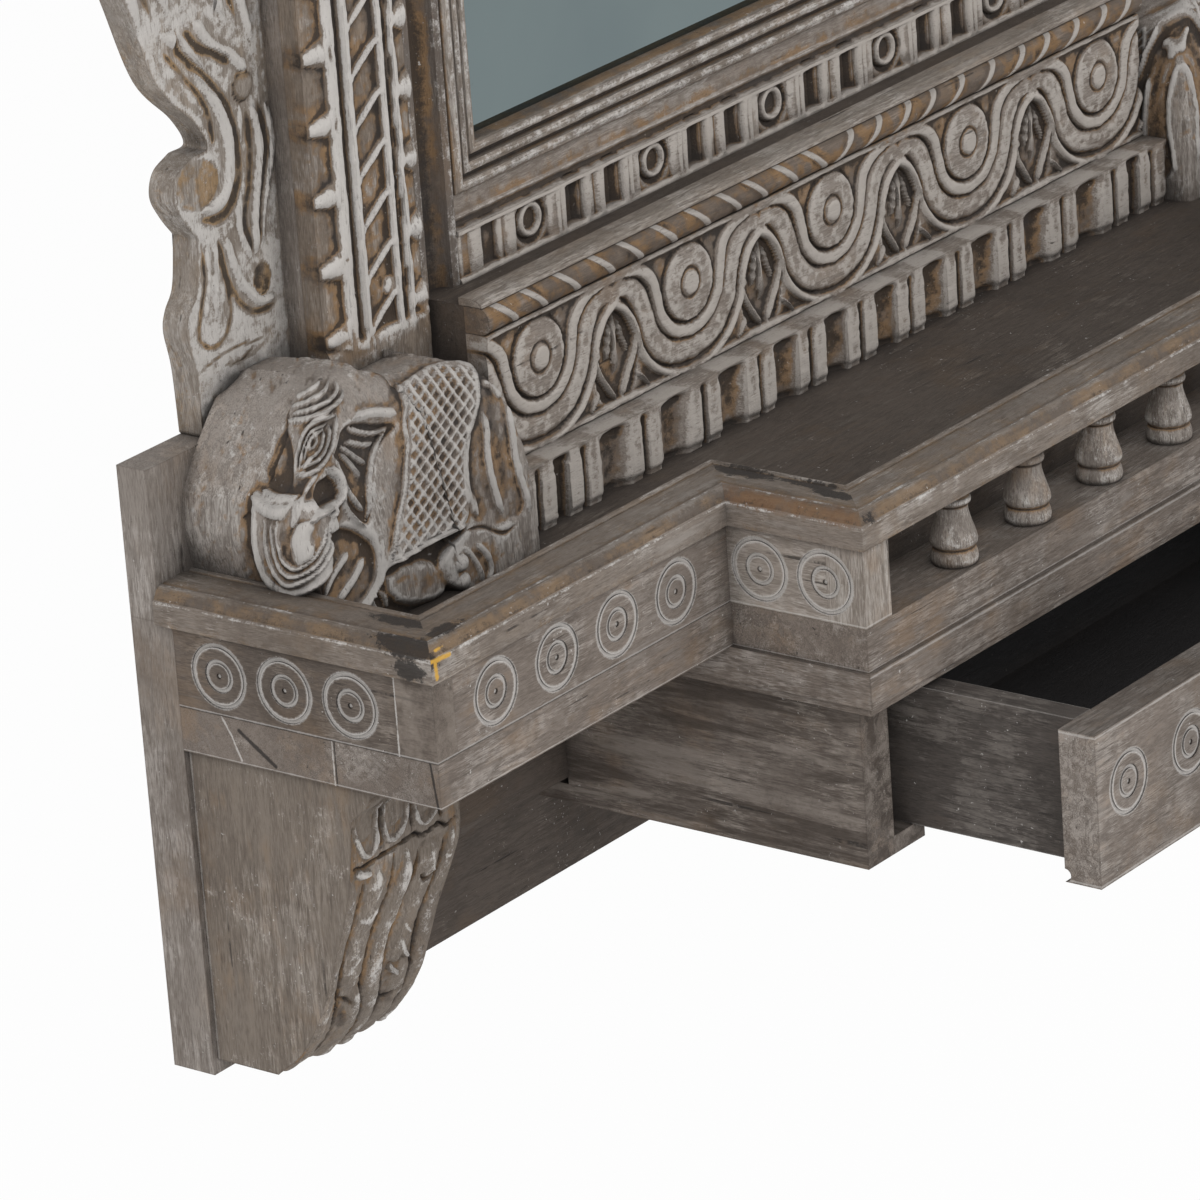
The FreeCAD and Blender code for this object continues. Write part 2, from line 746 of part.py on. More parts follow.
def crest():
    # Half of the cusped outline from the foot to the point: shares of the half width and of the height.
    stretches_shares = (
        ((1.0, 0.0), (1.0, 0.16), (0.90, 0.26)),
        ((0.90, 0.26), (0.80, 0.24), (0.70, 0.34), (0.62, 0.50)),
        ((0.62, 0.50), (0.48, 0.46), (0.34, 0.56), (0.26, 0.72)),
        ((0.26, 0.72), (0.14, 0.74), (0.05, 0.84), (0.0, 1.0)),
    )
    half = half_frame - crest_inset
    edges = []
    for side in (-1, 1):
        for shares in stretches_shares:
            points = [Vector(side * half * out, 0, frame_top + crest_height * up) for out, up in shares]
            edges.append(smooth_edge(points))
    edges.append(Part.makeLine(Vector(-half, 0, frame_top), Vector(half, 0, frame_top)))
    outline = Part.Wire(Part.__sortEdges__(edges))
    return Part.Face(outline).extrude(front_ward * crest_thickness)


def save_head():
    save_twins("capitals", capital())
    half = half_frame + capital_overhang
    save("entablature", slab(-half, half, back_thickness, entablature_depth, capital_top, entablature_top))
    lip = entablature_top - eave_fall
    profile = [
        (back_thickness, entablature_top),
        (entablature_depth, entablature_top),
        (eave_depth, lip),
        (eave_depth, lip + eave_thickness),
        (back_thickness, frame_top),
    ]
    end = Vector(-half_frame - eave_overhang, 0, 0)
    save("eave_board", moulding(profile, end, -end, front_ward, upward))
    save("crest_board", crest())


def main():
    os.makedirs("parts", exist_ok=True)
    save_shelf()
    save_caps()
    save_back()
    save_pair("bracket", bracket())
    save_housing()
    save_drawer()
    save_pair("elephant", elephant())
    save_apron()
    save_frame()
    save_glazing()
    save_pair("wing", wing())
    save_head()


main()
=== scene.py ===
import bpy, bmesh
import numpy as np
from math import pi, radians, sin, cos
from mathutils import Matrix, Vector


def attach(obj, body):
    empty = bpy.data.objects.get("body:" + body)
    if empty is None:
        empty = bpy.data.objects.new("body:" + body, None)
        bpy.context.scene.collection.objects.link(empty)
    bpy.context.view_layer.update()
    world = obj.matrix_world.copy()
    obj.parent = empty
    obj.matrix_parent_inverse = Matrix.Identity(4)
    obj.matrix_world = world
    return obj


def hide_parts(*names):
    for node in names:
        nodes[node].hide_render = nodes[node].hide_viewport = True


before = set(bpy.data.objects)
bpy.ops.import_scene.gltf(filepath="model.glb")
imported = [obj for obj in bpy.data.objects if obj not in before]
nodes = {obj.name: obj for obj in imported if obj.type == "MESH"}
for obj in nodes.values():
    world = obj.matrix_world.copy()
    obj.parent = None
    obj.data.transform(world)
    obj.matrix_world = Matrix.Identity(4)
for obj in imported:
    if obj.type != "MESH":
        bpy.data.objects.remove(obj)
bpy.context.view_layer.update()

# Jharokha mirror. Carving is laid out in millimetres: x from the middle plane, depth out from the wall,
# z up from the top of the shelf's base board.

shelfBody = "mirror_shelf"
mm = 0.001
faceDepth = 27  # the face of the boards that stand at the wall
print("frame loaded:", len(nodes), "nodes")


# camera, light and floor

cameraSettings = {
    "target": (-0.378, -0.1925, 0.0392),
    "azimuth": -51.6, "elevation": 21.2, "roll": -4.19,
    "distance": 3.752, "lens": 225, "sensor": 36,
}

lightSettings = {
    "worldStrength": 0.64,
    "lamps": (  # place, target, size, power
        ((-2.6, -2.8, 2.4), (-0.1, -0.1, 0.2), 2.2, 65),
        ((1.8, -3.4, 1.6), (0.0, -0.1, 0.2), 2.6, 40),
        ((-2.4, 0.5, 2.2), (-0.2, -0.1, 0.2), 1.6, 16),
    ),
    "floorLevel": -0.95, "floorSize": 20, "floorWhite": 0.95,
}


def placeCamera():
    c = cameraSettings
    azimuth, elevation, roll = radians(c["azimuth"]), radians(c["elevation"]), radians(c["roll"])
    back = Vector((sin(azimuth) * cos(elevation), -cos(azimuth) * cos(elevation), sin(elevation)))
    right = Vector((cos(azimuth), sin(azimuth), 0))
    up = back.cross(right)
    turned = cos(roll) * right + sin(roll) * up
    upright = cos(roll) * up - sin(roll) * right
    camera = bpy.data.objects.new("camera", bpy.data.cameras.new("camera"))
    camera.data.lens, camera.data.sensor_width = c["lens"], c["sensor"]
    camera.data.clip_end = 50
    turn = Matrix((turned, upright, back)).transposed().to_4x4()
    camera.matrix_world = Matrix.Translation(Vector(c["target"]) + back * c["distance"]) @ turn
    bpy.context.scene.collection.objects.link(camera)
    bpy.context.scene.camera = camera


placeCamera()
bpy.context.scene.view_settings.view_transform = "Standard"


# shader arithmetic

class Wire:
    # A shader socket that does sums: each operator adds its Math node.
    def __init__(self, tree, socket):
        self.tree, self.socket = tree, socket

    def node(self, kind, settings=None, values=None, out=0):
        made = self.tree.nodes.new("ShaderNode" + kind)
        for key, value in (settings or {}).items():
            setattr(made, key, value)
        for key, value in (values or {}).items():
            if isinstance(value, Wire):
                self.tree.links.new(value.socket, made.inputs[key])
            else:
                made.inputs[key].default_value = value
        return Wire(self.tree, made.outputs[out])

    def maths(self, operation, *values):
        return self.node("Math", {"operation": operation}, dict(enumerate(values)))

    def single(self, operation):
        return self.maths(operation, self)

    def __add__(self, other): return self.maths("ADD", self, other)
    def __radd__(self, other): return self.maths("ADD", other, self)
    def __sub__(self, other): return self.maths("SUBTRACT", self, other)
    def __rsub__(self, other): return self.maths("SUBTRACT", other, self)
    def __mul__(self, other): return self.maths("MULTIPLY", self, other)
    def __rmul__(self, other): return self.maths("MULTIPLY", other, self)
    def __abs__(self): return self.maths("ABSOLUTE", self)

    def clip(self):
        return self.maths("MINIMUM", self.maths("MAXIMUM", self, 0.0), 1.0)

    def larger(self, other):
        return self.maths("MAXIMUM", self, other)

    def smaller(self, other):
        return self.maths("MINIMUM", self, other)

    def step(self, low, high):
        # 0 below low, 1 above high, and smooth between them
        return self.node("MapRange", {"interpolation_type": "SMOOTHSTEP"}, {0: self, 1: low, 2: high})

    def blend(self, first, second):
        # a colour between two, by this wire
        return self.node("Mix", {"data_type": "RGBA"}, {0: self, 6: first, 7: second}, 2)


def tint(red, green, blue):
    # a shader colour from display values, 0 to 255
    linear = [((v / 255 + 0.055) / 1.055) ** 2.4 if v > 10 else v / 255 / 12.92 for v in (red, green, blue)]
    return (*linear, 1.0)


def newMaterial(name):
    material = bpy.data.materials.new(name)
    material.use_nodes = True
    tree = material.node_tree
    shader = tree.nodes["Principled BSDF"]
    return material, Wire(tree, shader.inputs[0]), shader


# finishes

woodTints = {  # display values of the shades that a finish may change
    "base": (136, 126, 117), "light": (166, 159, 152), "dark": (84, 74, 66),
    # the near-black tint serves real grime in cracks, specks and deep hollows, and painted shade in corners
    # and on faces that look up
    "ochre": (134, 104, 70), "wash": (204, 200, 196), "grimeAndShade": (40, 36, 34),
}


def grainCoordinates(start, grain):
    # object coordinates, and the same squeezed along the grain
    place = start.node("TexCoord", out="Object")
    return place, squeezed(start, place, grain, 0.1)


def squeezed(start, place, grain, share):
    scale = [share if axis == grain else 1.0 for axis in "xyz"]
    return start.node("Mapping", {"vector_type": "POINT"}, {"Vector": place, "Scale": scale})


def noise(start, where, scale, detail=4.0, rough=0.55, twist=0.0):
    return start.node("TexNoise", None, {
        "Vector": where, "Scale": scale, "Detail": detail, "Roughness": rough, "Distortion": twist})


def woodFinish(name, grain, tints, washLevel, stain, carved=False, marks=None, topDustAndShade=0.8, smudges=0.55,
               edges=-0.5, flames=0.0):
    # Limed and worn wood. carved reads the piece's own attribute: above 0 on crests and below 0 in hollows.
    # marks is a function that adds painted marks. edges lightens the arrises, or darkens them below 0, and
    # flames adds a bold figure along the grain.
    roughness, dirtAndShade = 0.74, 0.75
    t = {shade: tint(*values) for shade, values in dict(woodTints, **tints).items()}
    material, start, shader = newMaterial(name)
    place, along = grainCoordinates(start, grain)
    fine = noise(start, along, 1500, 5, 0.65)
    band = noise(start, along, 210, 5, 0.6, 0.5)
    patch = noise(start, place, 15, 4, 0.6)
    cloud = noise(start, place, 60, 6, 0.68)
    pits = noise(start, place, 900, 3, 0.7)
    flake = noise(start, place, 230, 7, 0.8)
    figure = noise(start, along, 34, 3, 0.5)
    lines = (figure * 95.0 + fine * 2.4).single("SINE") * 0.5 + 0.5
    wash = patch * 0.42 + band * 0.25 + cloud * 0.2 + flake * 0.13 + fine * 0.2
    colour = wash.step(0.71 - washLevel * 0.25, 0.78 - washLevel * 0.2).blend(t["base"], t["light"])
    colour = ((band * 0.5 + fine * 0.6).step(0.62, 0.44) * 0.6).blend(colour, t["dark"])
    colour = (lines.step(0.7, 1.0) * patch.step(0.40, 0.60) * 0.4).blend(colour, t["dark"])
    ochreMask = (noise(start, place, 23, 4, 0.6) * 0.8 + band * 0.4).step(0.60, 0.78) * stain
    colour = ochreMask.blend(colour, t["ochre"])
    height = fine * 0.5 + band * 0.45 + pits * 0.3 - lines * 0.12
    if flames:
        flame = noise(start, along, 46, 4, 0.6, 1.2)
        colour = (flame.step(0.50, 0.60) * flames).blend(colour, t["dark"])
        colour = (flame.step(0.46, 0.36) * flames * 0.8).blend(colour, t["light"])
    smudge = noise(start, place, 9, 6, 0.7)
    colour = ((smudge * 0.55 + band * 0.3 + flake * 0.15).step(0.50, 0.62) * smudges).blend(colour, t["dark"])
    colour = ((smudge * 0.5 + band * 0.5).step(0.47, 0.32) * smudges * 0.9).blend(colour, t["light"])
    if carved:
        relief = start.node("Attribute", {"attribute_name": "carve", "attribute_type": "GEOMETRY"}, out="Fac")
        rub = (cloud - 0.5) * 1.5 + (flake - 0.5) * 1.7 + (pits - 0.5) * 0.7 + (fine - 0.5) * 0.5
        hollowTint = (patch * 0.6 + cloud * 0.5 + band * 0.2).step(0.56, 0.72).blend(t["dark"], t["ochre"])
        colour = ((0.0 - relief + rub * 0.45).step(0.10, 0.42) * 0.8).blend(colour, hollowTint)
        colour = ((0.0 - relief + rub * 0.5).step(0.46, 0.84) * 0.85).blend(colour, t["grimeAndShade"])
        colour = ((relief + rub * 0.75).step(0.16, 0.52) * 0.8).blend(colour, t["wash"])
        height = height + rub * 0.5
    pores = noise(start, along, 1000, 2, 0.7).step(0.56, 0.70) * cloud.step(0.38, 0.58) * 0.5
    colour = pores.blend(colour, t["dark"])
    speck = pits.step(0.63, 0.72) * cloud.step(0.45, 0.62) * 0.7
    colour = speck.blend(colour, t["grimeAndShade"])
    chip = noise(start, place, 420, 3, 0.6).step(0.66, 0.73)
    colour = (chip * (cloud * 0.5 + patch * 0.5).step(0.48, 0.58) * 0.7).blend(colour, t["wash"])
    check = noise(start, squeezed(start, place, grain, 0.03), 330, 1, 0.4)
    crack = check.step(0.72, 0.79) * cloud.step(0.42, 0.55) * 0.75
    colour = crack.blend(colour, t["grimeAndShade"])
    if edges:
        rounded = start.node("Bevel", {"samples": 4}, {"Radius": 0.0014})
        true = start.node("NewGeometry", out="Normal")
        turn = start.node("VectorMath", {"operation": "DOT_PRODUCT"}, {0: rounded, 1: true}, 1)
        worn = (1.0 - turn + (cloud - 0.5) * 0.12).step(0.02, 0.16) * abs(edges)
        colour = worn.blend(colour, t["wash"] if edges > 0 else t["dark"])
    if marks:
        for mask, paint in marks(start, place, cloud, pits):
            colour = mask.blend(colour, paint or t["light"])
    # Painted shade: faces that look up are darkened toward the near-black tint, which stands also for dust on
    # them.
    facing = axes(start, start.node("TexCoord", out="Normal"))[2]
    colour = (facing.step(0.55, 0.95) * (1 - topDustAndShade)).blend(colour, t["grimeAndShade"])
    # Painted shade with dirt: where the Ambient Occlusion node finds surfaces within 22 mm (corners, creases,
    # under parts), the colour goes toward the near-black tint.
    shut = start.node("AmbientOcclusion", {"samples": 6}, {"Distance": 0.022}, out="AO")
    cornerShadeAndDirt = (0.92 - shut + (cloud - 0.5) * 0.5 + (pits - 0.5) * 0.3).step(0.16, 0.62) * dirtAndShade
    colour = cornerShadeAndDirt.blend(colour, t["grimeAndShade"])
    start.tree.links.new(colour.socket, shader.inputs["Base Color"])
    start.tree.links.new((roughness + (cloud - 0.5) * 0.22).socket, shader.inputs["Roughness"])
    bump = start.node("Bump", None, {
        "Strength": 0.75, "Distance": 0.0007, "Height": height - crack * 0.8 - pores * 0.5})
    start.tree.links.new(bump.socket, shader.inputs["Normal"])
    shader.inputs["Specular IOR Level"].default_value = 0.25
    return material


def axes(start, place):
    split = start.node("SeparateXYZ", None, {0: place})
    outputs = split.socket.node.outputs
    return [Wire(start.tree, outputs[i]) for i in range(3)]


def strokeMask(start, place, ragged, lines):
    # a mask of straight strokes, each from one point to another in millimetres, with a half width
    mask = place.node("Math", None, {0: 0.0, 1: 0.0})
    for first, last, half in lines:
        first, way = np.array(first) * mm, (np.array(last) - np.array(first)) * mm
        offset = start.node("VectorMath", {"operation": "SUBTRACT"}, {0: place, 1: tuple(first)})
        inverse = tuple(way / (way @ way))
        share = start.node("VectorMath", {"operation": "DOT_PRODUCT"}, {0: offset, 1: inverse}, 1)
        foot = start.node("VectorMath", {"operation": "SCALE"}, {0: tuple(way), 3: share.clip()})
        away = start.node("VectorMath", {"operation": "DISTANCE"}, {0: offset, 1: foot}, 1)
        mask = mask.larger((away * (1000 / half) + ragged * 1.8).step(1.3, 0.5))
    return mask


def spotMask(start, place, ragged, spots):
    # a mask of soft spots, each a centre and three radii in millimetres
    mask = place.node("Math", None, {0: 0.0, 1: 0.0})
    for centre, radii in spots:
        middle, scale = tuple(np.array(centre) * mm), tuple(1000 / r for r in radii)
        offset = start.node("VectorMath", {"operation": "SUBTRACT"}, {0: place, 1: middle})
        scaled = start.node("VectorMath", {"operation": "MULTIPLY"}, {0: offset, 1: scale})
        away = start.node("VectorMath", {"operation": "LENGTH"}, {0: scaled}, 1)
        mask = mask.larger((away + ragged).step(1.25, 0.95))
    return mask


ringLines = (  # radius, half width and strength of the lime in a turned ring
    (17, 0.7, 1), (15.4, 0.8, 0.9), (16.1, 1.9, 0.75), (8.2, 0.8, 0.95), (7.5, 1.4, 0.72), (0.3, 0.9, 1))


def lineMarks(lines=(), rings=(), breakUp=0.6, strength=0.75, grimeAndShade=(), whites=(), darks=(), spots=(),
              pale=(), yellows=(), browns=()):
    # Whitewash held in joints and arrises. A line is an axis, a place and a half width, in millimetres of the
    # object frame. rings is the axis they run on, the first centre, the pitch, the count, and the other axis
    # and centre. whites, darks and yellows are strokes, spots are dark, browns are rubbed spots, and pale is
    # a lighter part of a board: axis, middle, half width.
    def marks(start, place, cloud, pits):
        xyz = dict(zip("xyz", axes(start, place)))

        def off(axis, where):
            return abs(xyz[axis] - where * mm)
        ragged = (cloud - 0.5) * breakUp + (pits - 0.5) * breakUp
        torn = (noise(start, place, 230, 7, 0.8) - 0.5) * 2.6 + (cloud - 0.5) * 1.2
        mask = strokeMask(start, place, torn, whites) * 0.8
        for axis, where, half in lines:
            away = off(axis, where) * (1 / (half * mm))
            mask = mask.larger((away + ragged * 2.0 + torn * 0.9).step(1.25, 0.5) * 0.5)
        for axis, first, pitch, count, other, centre in rings:
            along = xyz[axis] * 1000 - first
            nearest = (along * (1 / pitch)).single("ROUND").larger(0.0).smaller(count - 1.0)
            a = along - nearest * pitch
            b = xyz[other] * 1000 - centre
            radius = (a * a + b * b).single("SQRT")
            for size, half, level in ringLines:
                mask = mask.larger((abs(radius - size) * (1 / half) + ragged * 1.8).step(1.25, 0.5) * level)
        # One near-black mask of the dark strokes, the spots and the grime lines. The grime lines, under the
        # cap and at the foot of a frieze, are painted shade as well as dirt.
        dirtAndShade = strokeMask(start, place, torn * 0.4, darks).larger(spotMask(start, place, torn, spots))
        for axis, where, half in grimeAndShade:
            away = off(axis, where) * (1 / (half * mm))
            dirtAndShade = dirtAndShade.larger((away + ragged * 1.5).step(1.2, 0.4) * 0.7)
        layers = [(mask * strength, tint(*woodTints["wash"]))]
        if darks or spots or grimeAndShade:
            layers.insert(0, (dirtAndShade * 0.85, tint(34, 31, 30)))
        for axis, where, half in pale:
            light = (off(axis, where) * 1000).step(half + 0.4, half - 0.4)
            layers.insert(0, (light * (cloud + torn * 0.1).step(0.36, 0.62) * 0.55, None))
        if browns:
            rubbed = spotMask(start, place, torn * 1.4, browns) * (cloud.step(0.3, 0.6) * 0.5 + 0.1)
            layers.insert(0, (rubbed, tint(118, 88, 64)))
        if yellows:
            layers.append((strokeMask(start, place, torn * 0.5, yellows) * 0.9, tint(206, 160, 66)))
        return layers
    return marks


def dress(name, material):
    # gives a CAD node its finish
    for materialSlot in nodes[name].material_slots:
        materialSlot.link = "OBJECT"
        materialSlot.material = material


# mesh tools

def smoothPath(points, parts=6):
    # a curve through the points
    p = np.array(points, float)
    if len(p) < 3:
        return p
    p = np.vstack((2 * p[0] - p[1], p, 2 * p[-1] - p[-2]))
    t = np.linspace(0, 1, parts, endpoint=False)[:, None]
    runs = []
    for a, b, c, d in zip(p, p[1:], p[2:], p[3:]):
        square, cube = 2 * a - 5 * b + 4 * c - d, 3 * b - a - 3 * c + d
        runs.append(0.5 * (2 * b + (c - a) * t + square * t ** 2 + cube * t ** 3))
    runs.append(p[-2:-1])
    return np.vstack(runs)


def softNoise(u, v, scale, seed):
    # smooth random values from -1 to 1 over a plane
    table = np.random.RandomState(seed).uniform(-1, 1, (64, 64))
    a, b = u / scale, v / scale
    i, j = np.floor(a).astype(int), np.floor(b).astype(int)
    f, g = a - i, b - j
    f, g = f * f * (3 - 2 * f), g * g * (3 - 2 * g)
    i0, i1, j0, j1 = i % 64, (i + 1) % 64, j % 64, (j + 1) % 64
    low = table[i0, j0] * (1 - f) + table[i1, j0] * f
    high = table[i0, j1] * (1 - f) + table[i1, j1] * f
    return low * (1 - g) + high * g


def strokes(rows):
    # the points of each row's stroke, and the two numbers before them
    return [(np.reshape(row[2:], (-1, 2)), row[0], row[1]) for row in rows]


def hump(away, power=1):
    # a round bump: 1 in the middle and 0 where away reaches 1
    return np.clip(1 - away ** 2, 0, 1) ** power


def easeIn(value, low, high):
    # 0 up to low, 1 from high on, and smooth between them
    t = np.clip((value - low) / (high - low), 0, 1)
    return t * t * (3 - 2 * t)


class Carving:
    # A height field in millimetres over (u, v) that takes chisel work.
    def __init__(self, u, v, ground=0.0):
        self.u, self.v = u, v
        self.ground = np.zeros(u.shape) + ground
        self.height = self.ground.copy()
        self.painted = np.zeros(u.shape)

    def near(self, path, reach):
        # the points within reach of a path: their indices, distances and places along it
        low, high = path.min(0) - reach, path.max(0) + reach
        inside = (self.u > low[0]) & (self.u < high[0]) & (self.v > low[1]) & (self.v < high[1])
        spots = np.nonzero(inside)
        u, v = self.u[spots], self.v[spots]
        best, along = np.full(u.shape, 1e9), np.zeros(u.shape)
        lengths = np.hypot(*np.diff(path, axis=0).T)
        total, run = lengths.sum(), 0.0
        for a, b, length in zip(path, path[1:], lengths):
            if length > 0:
                t = np.clip(((u - a[0]) * (b[0] - a[0]) + (v - a[1]) * (b[1] - a[1])) / length ** 2, 0, 1)
                away = np.hypot(u - a[0] - t * (b[0] - a[0]), v - a[1] - t * (b[1] - a[1]))
                closer = away < best
                best[closer] = away[closer]
                along[closer] = (run + t[closer] * length) / total
            run += length
        return spots, best, along

    def strip(self, points, width, taper, bevel=None):
        # the cells of a stroke, and its profile from 0 at the sides to 1
        path = smoothPath(points)
        spots, away, along = self.near(path, width)
        ends = np.clip(np.minimum(along, 1 - along) / taper, 0, 1) ** 0.6 if taper else 1.0
        rise = np.clip((width / 2 * ends - away) / (bevel or width / 2), 0, 1)
        return spots, rise * (2 - rise)

    def ridge(self, points, width, height, taper=0.2, bevel=None):
        # a bar that stands on the ground, round or with a bevel
        spots, profile = self.strip(points, width, taper, bevel)
        self.height[spots] = np.maximum(self.height[spots], self.ground[spots] + height * profile)

    def groove(self, points, width, depth, taper):
        spots, profile = self.strip(points, width, taper)
        self.height[spots] -= depth * profile

    def paint(self, points, width, level, taper=0.25):
        # a stroke of whitewash, or of dirt where the level is below 0; on the elephants the dark strokes are
        # painted shade
        spots, profile = self.strip(points, width, taper)
        self.painted[spots] += level * profile

    def inside(self, outline, soft):
        # 1 inside a closed outline and 0 outside it, over an edge of width soft
        path = smoothPath(list(outline) + [outline[0]])
        spots, away, along = self.near(path, 1e4)
        odd = np.zeros(self.u.shape, bool)
        for (a, b), (c, d) in zip(path, path[1:]):
            crosses = (b > self.v) != (d > self.v)
            odd ^= crosses & (self.u < (c - a) * (self.v - b) / (d - b + 1e-12) + a)
        away = away.reshape(self.u.shape)
        return easeIn(np.where(odd, away, -away), -soft / 2, soft / 2)

    def sink(self, outline, level, soft=2.0):
        # takes the ground inside an outline to a level
        share = self.inside(outline, soft)
        self.ground += (level - self.ground) * share
        self.height += (level - self.height) * share

    def boss(self, centre, radius, height, power=0.5):
        away = np.hypot(self.u - centre[0], self.v - centre[1])
        self.height = np.maximum(self.height, self.ground + height * hump(away / radius, power))

    def ring(self, centre, radius, width, height):
        away = np.abs(np.hypot(self.u - centre[0], self.v - centre[1]) - radius)
        self.height = np.maximum(self.height, self.ground + height * hump(away / (width / 2), 0.5))

    def shiftGround(self, level):
        self.ground += level
        self.height += level

    def wear(self, amount, scale, seed):
        self.height += softNoise(self.u, self.v, scale, seed) * amount


sides = (("Left", False), ("Right", True))  # the right side is the left one mirrored
toneReach = 3.0  # how far a carved point is compared with its surroundings
rimTone, backTone = -0.05, -0.18  # a sawn edge, in front and at the wall


def averaged(values, cells):
    # the mean over a square of cells, with the edges repeated
    for axis in (0, 1):
        padded = np.concatenate([np.take(values, [0], axis)] * (cells + 1) + [values]
                                + [np.take(values, [-1], axis)] * cells, axis)
        total = np.cumsum(padded, axis)
        length = values.shape[axis]
        window = 2 * cells + 1
        values = (np.take(total, range(window, window + length), axis)
                  - np.take(total, range(length), axis)) / window
    return values


def crestTone(height, cells, scale, shift=0.0):
    # above 0 where the surface stands over its near and its wider surroundings, below 0 in hollows
    near = height - averaged(averaged(height, cells), cells)
    wide = height - averaged(averaged(height, 3 * cells), 3 * cells)
    return np.clip((0.75 * near + 0.45 * wide) / scale + shift, -1, 1)


def makePiece(name, bm, material, body, replaced, smooth=38):
    mesh = bpy.data.meshes.new(name)
    bm.to_mesh(mesh)
    bm.free()
    mesh.shade_smooth()
    mesh.set_sharp_from_angle(angle=radians(smooth))
    piece = bpy.data.objects.new(name, mesh)
    mesh.materials.append(material)
    bpy.context.scene.collection.objects.link(piece)
    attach(piece, body)
    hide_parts(*replaced)


def closeMesh(bm):
    # a face over the open back, and all faces turned outwards
    bmesh.ops.holes_fill(bm, edges=[e for e in bm.edges if e.is_boundary], sides=0)
    bmesh.ops.recalc_face_normals(bm, faces=bm.faces)


def gridPiece(name, columns, rows, front, back, material, replaced, smooth=38, mirror=False):
    # A sheet of columns by rows cells. front gives x, depth, z and tone for arrays s and t that run from
    # 0 to 1, and back gives the place to which each point of its rim is drawn.
    bm = bmesh.new()
    bmesh.ops.create_grid(bm, x_segments=columns, y_segments=rows, size=1)
    tone = bm.verts.layers.float.new("carve")
    t, s = np.meshgrid(np.linspace(0, 1, rows + 1), np.linspace(0, 1, columns + 1), indexing="ij")
    x, depth, z, tones = front(s, t)
    rim = [e for e in bm.edges if e.is_boundary]
    onSheet = set(bm.verts)
    bmesh.ops.extrude_edge_only(bm, edges=rim)
    side = -1 if mirror else 1
    for v in bm.verts:
        i, j = round((v.co.x + 1) / 2 * columns), round((v.co.y + 1) / 2 * rows)
        place = x[j, i], depth[j, i], z[j, i]
        if v in onSheet:
            v[tone] = float(tones[j, i])
        else:
            place = back(*place)
            v[tone] = float(tones[j, i]) * 0.4
        v.co = (side * place[0] * mm, -place[1] * mm, place[2] * mm)
    outer = [e for e in bm.edges if e.is_boundary]
    bmesh.ops.edgeloop_fill(bm, edges=outer)
    bmesh.ops.remove_doubles(bm, verts=bm.verts, dist=2e-6)
    bmesh.ops.recalc_face_normals(bm, faces=bm.faces)
    makePiece(name, bm, material, shelfBody, replaced, smooth)


def panel(name, xs, zs, depth, backDepth, cell, carve, material, replaced, toneScale, toneShift=0.0,
          mirror=False):
    # a flat carved board that faces the front
    def front(s, t):
        u, v = xs[0] + s * (xs[1] - xs[0]), zs[0] + t * (zs[1] - zs[0])
        work = Carving(u, v)
        carve(work)
        tones = crestTone(work.height, round(toneReach / cell), toneScale, work.painted + toneShift)
        return u, depth + work.height, v, tones
    columns, rows = round((xs[1] - xs[0]) / cell), round((zs[1] - zs[0]) / cell)
    gridPiece(name, columns, rows, front, lambda x, d, z: (x, backDepth, z), material, replaced,
              mirror=mirror)


def sweep(name, profile, start, finish, outward, rise, mitres, material, replaced, seed, mirror=False):
    # A closed profile of (out, up, tone) run from start to finish. Its ends are cut square, by mitres of 0,
    # or at 45 degrees.
    cell, wear = 4.0, 0.12
    start, finish, outward, rise = (np.array(v, float) for v in (start, finish, outward, rise))
    length = np.linalg.norm(finish - start)
    along = (finish - start) / length
    stations = max(2, round(length / cell))
    shape = np.array(profile + profile[:1])
    bm = bmesh.new()
    bmesh.ops.create_grid(bm, x_segments=len(profile), y_segments=stations, size=1)
    tone = bm.verts.layers.float.new("carve")
    side = -1 if mirror else 1
    count = len(profile)
    shake = softNoise(*np.meshgrid(np.arange(count + 1) * 31.7, np.arange(stations + 1) * cell), 14.0, seed)
    shake[:, -1] = shake[:, 0]
    shake[0] = shake[-1] = 0
    for v in bm.verts:
        i, j = round((v.co.x + 1) / 2 * count), round((v.co.y + 1) / 2 * stations)
        out, up, mark = shape[i]
        t = j / stations
        up -= abs(shake[j, i]) * wear * (1 if up > 0.5 else 0)
        reach = out * ((1 - t) * mitres[0] + t * mitres[1])
        place = start + along * (t * length + reach) + outward * out + rise * up
        v[tone] = mark
        v.co = (side * place[0] * mm, place[1] * mm, place[2] * mm)
    bmesh.ops.remove_doubles(bm, verts=bm.verts, dist=2e-6)
    closeMesh(bm)
    makePiece(name, bm, material, shelfBody, replaced, 32)


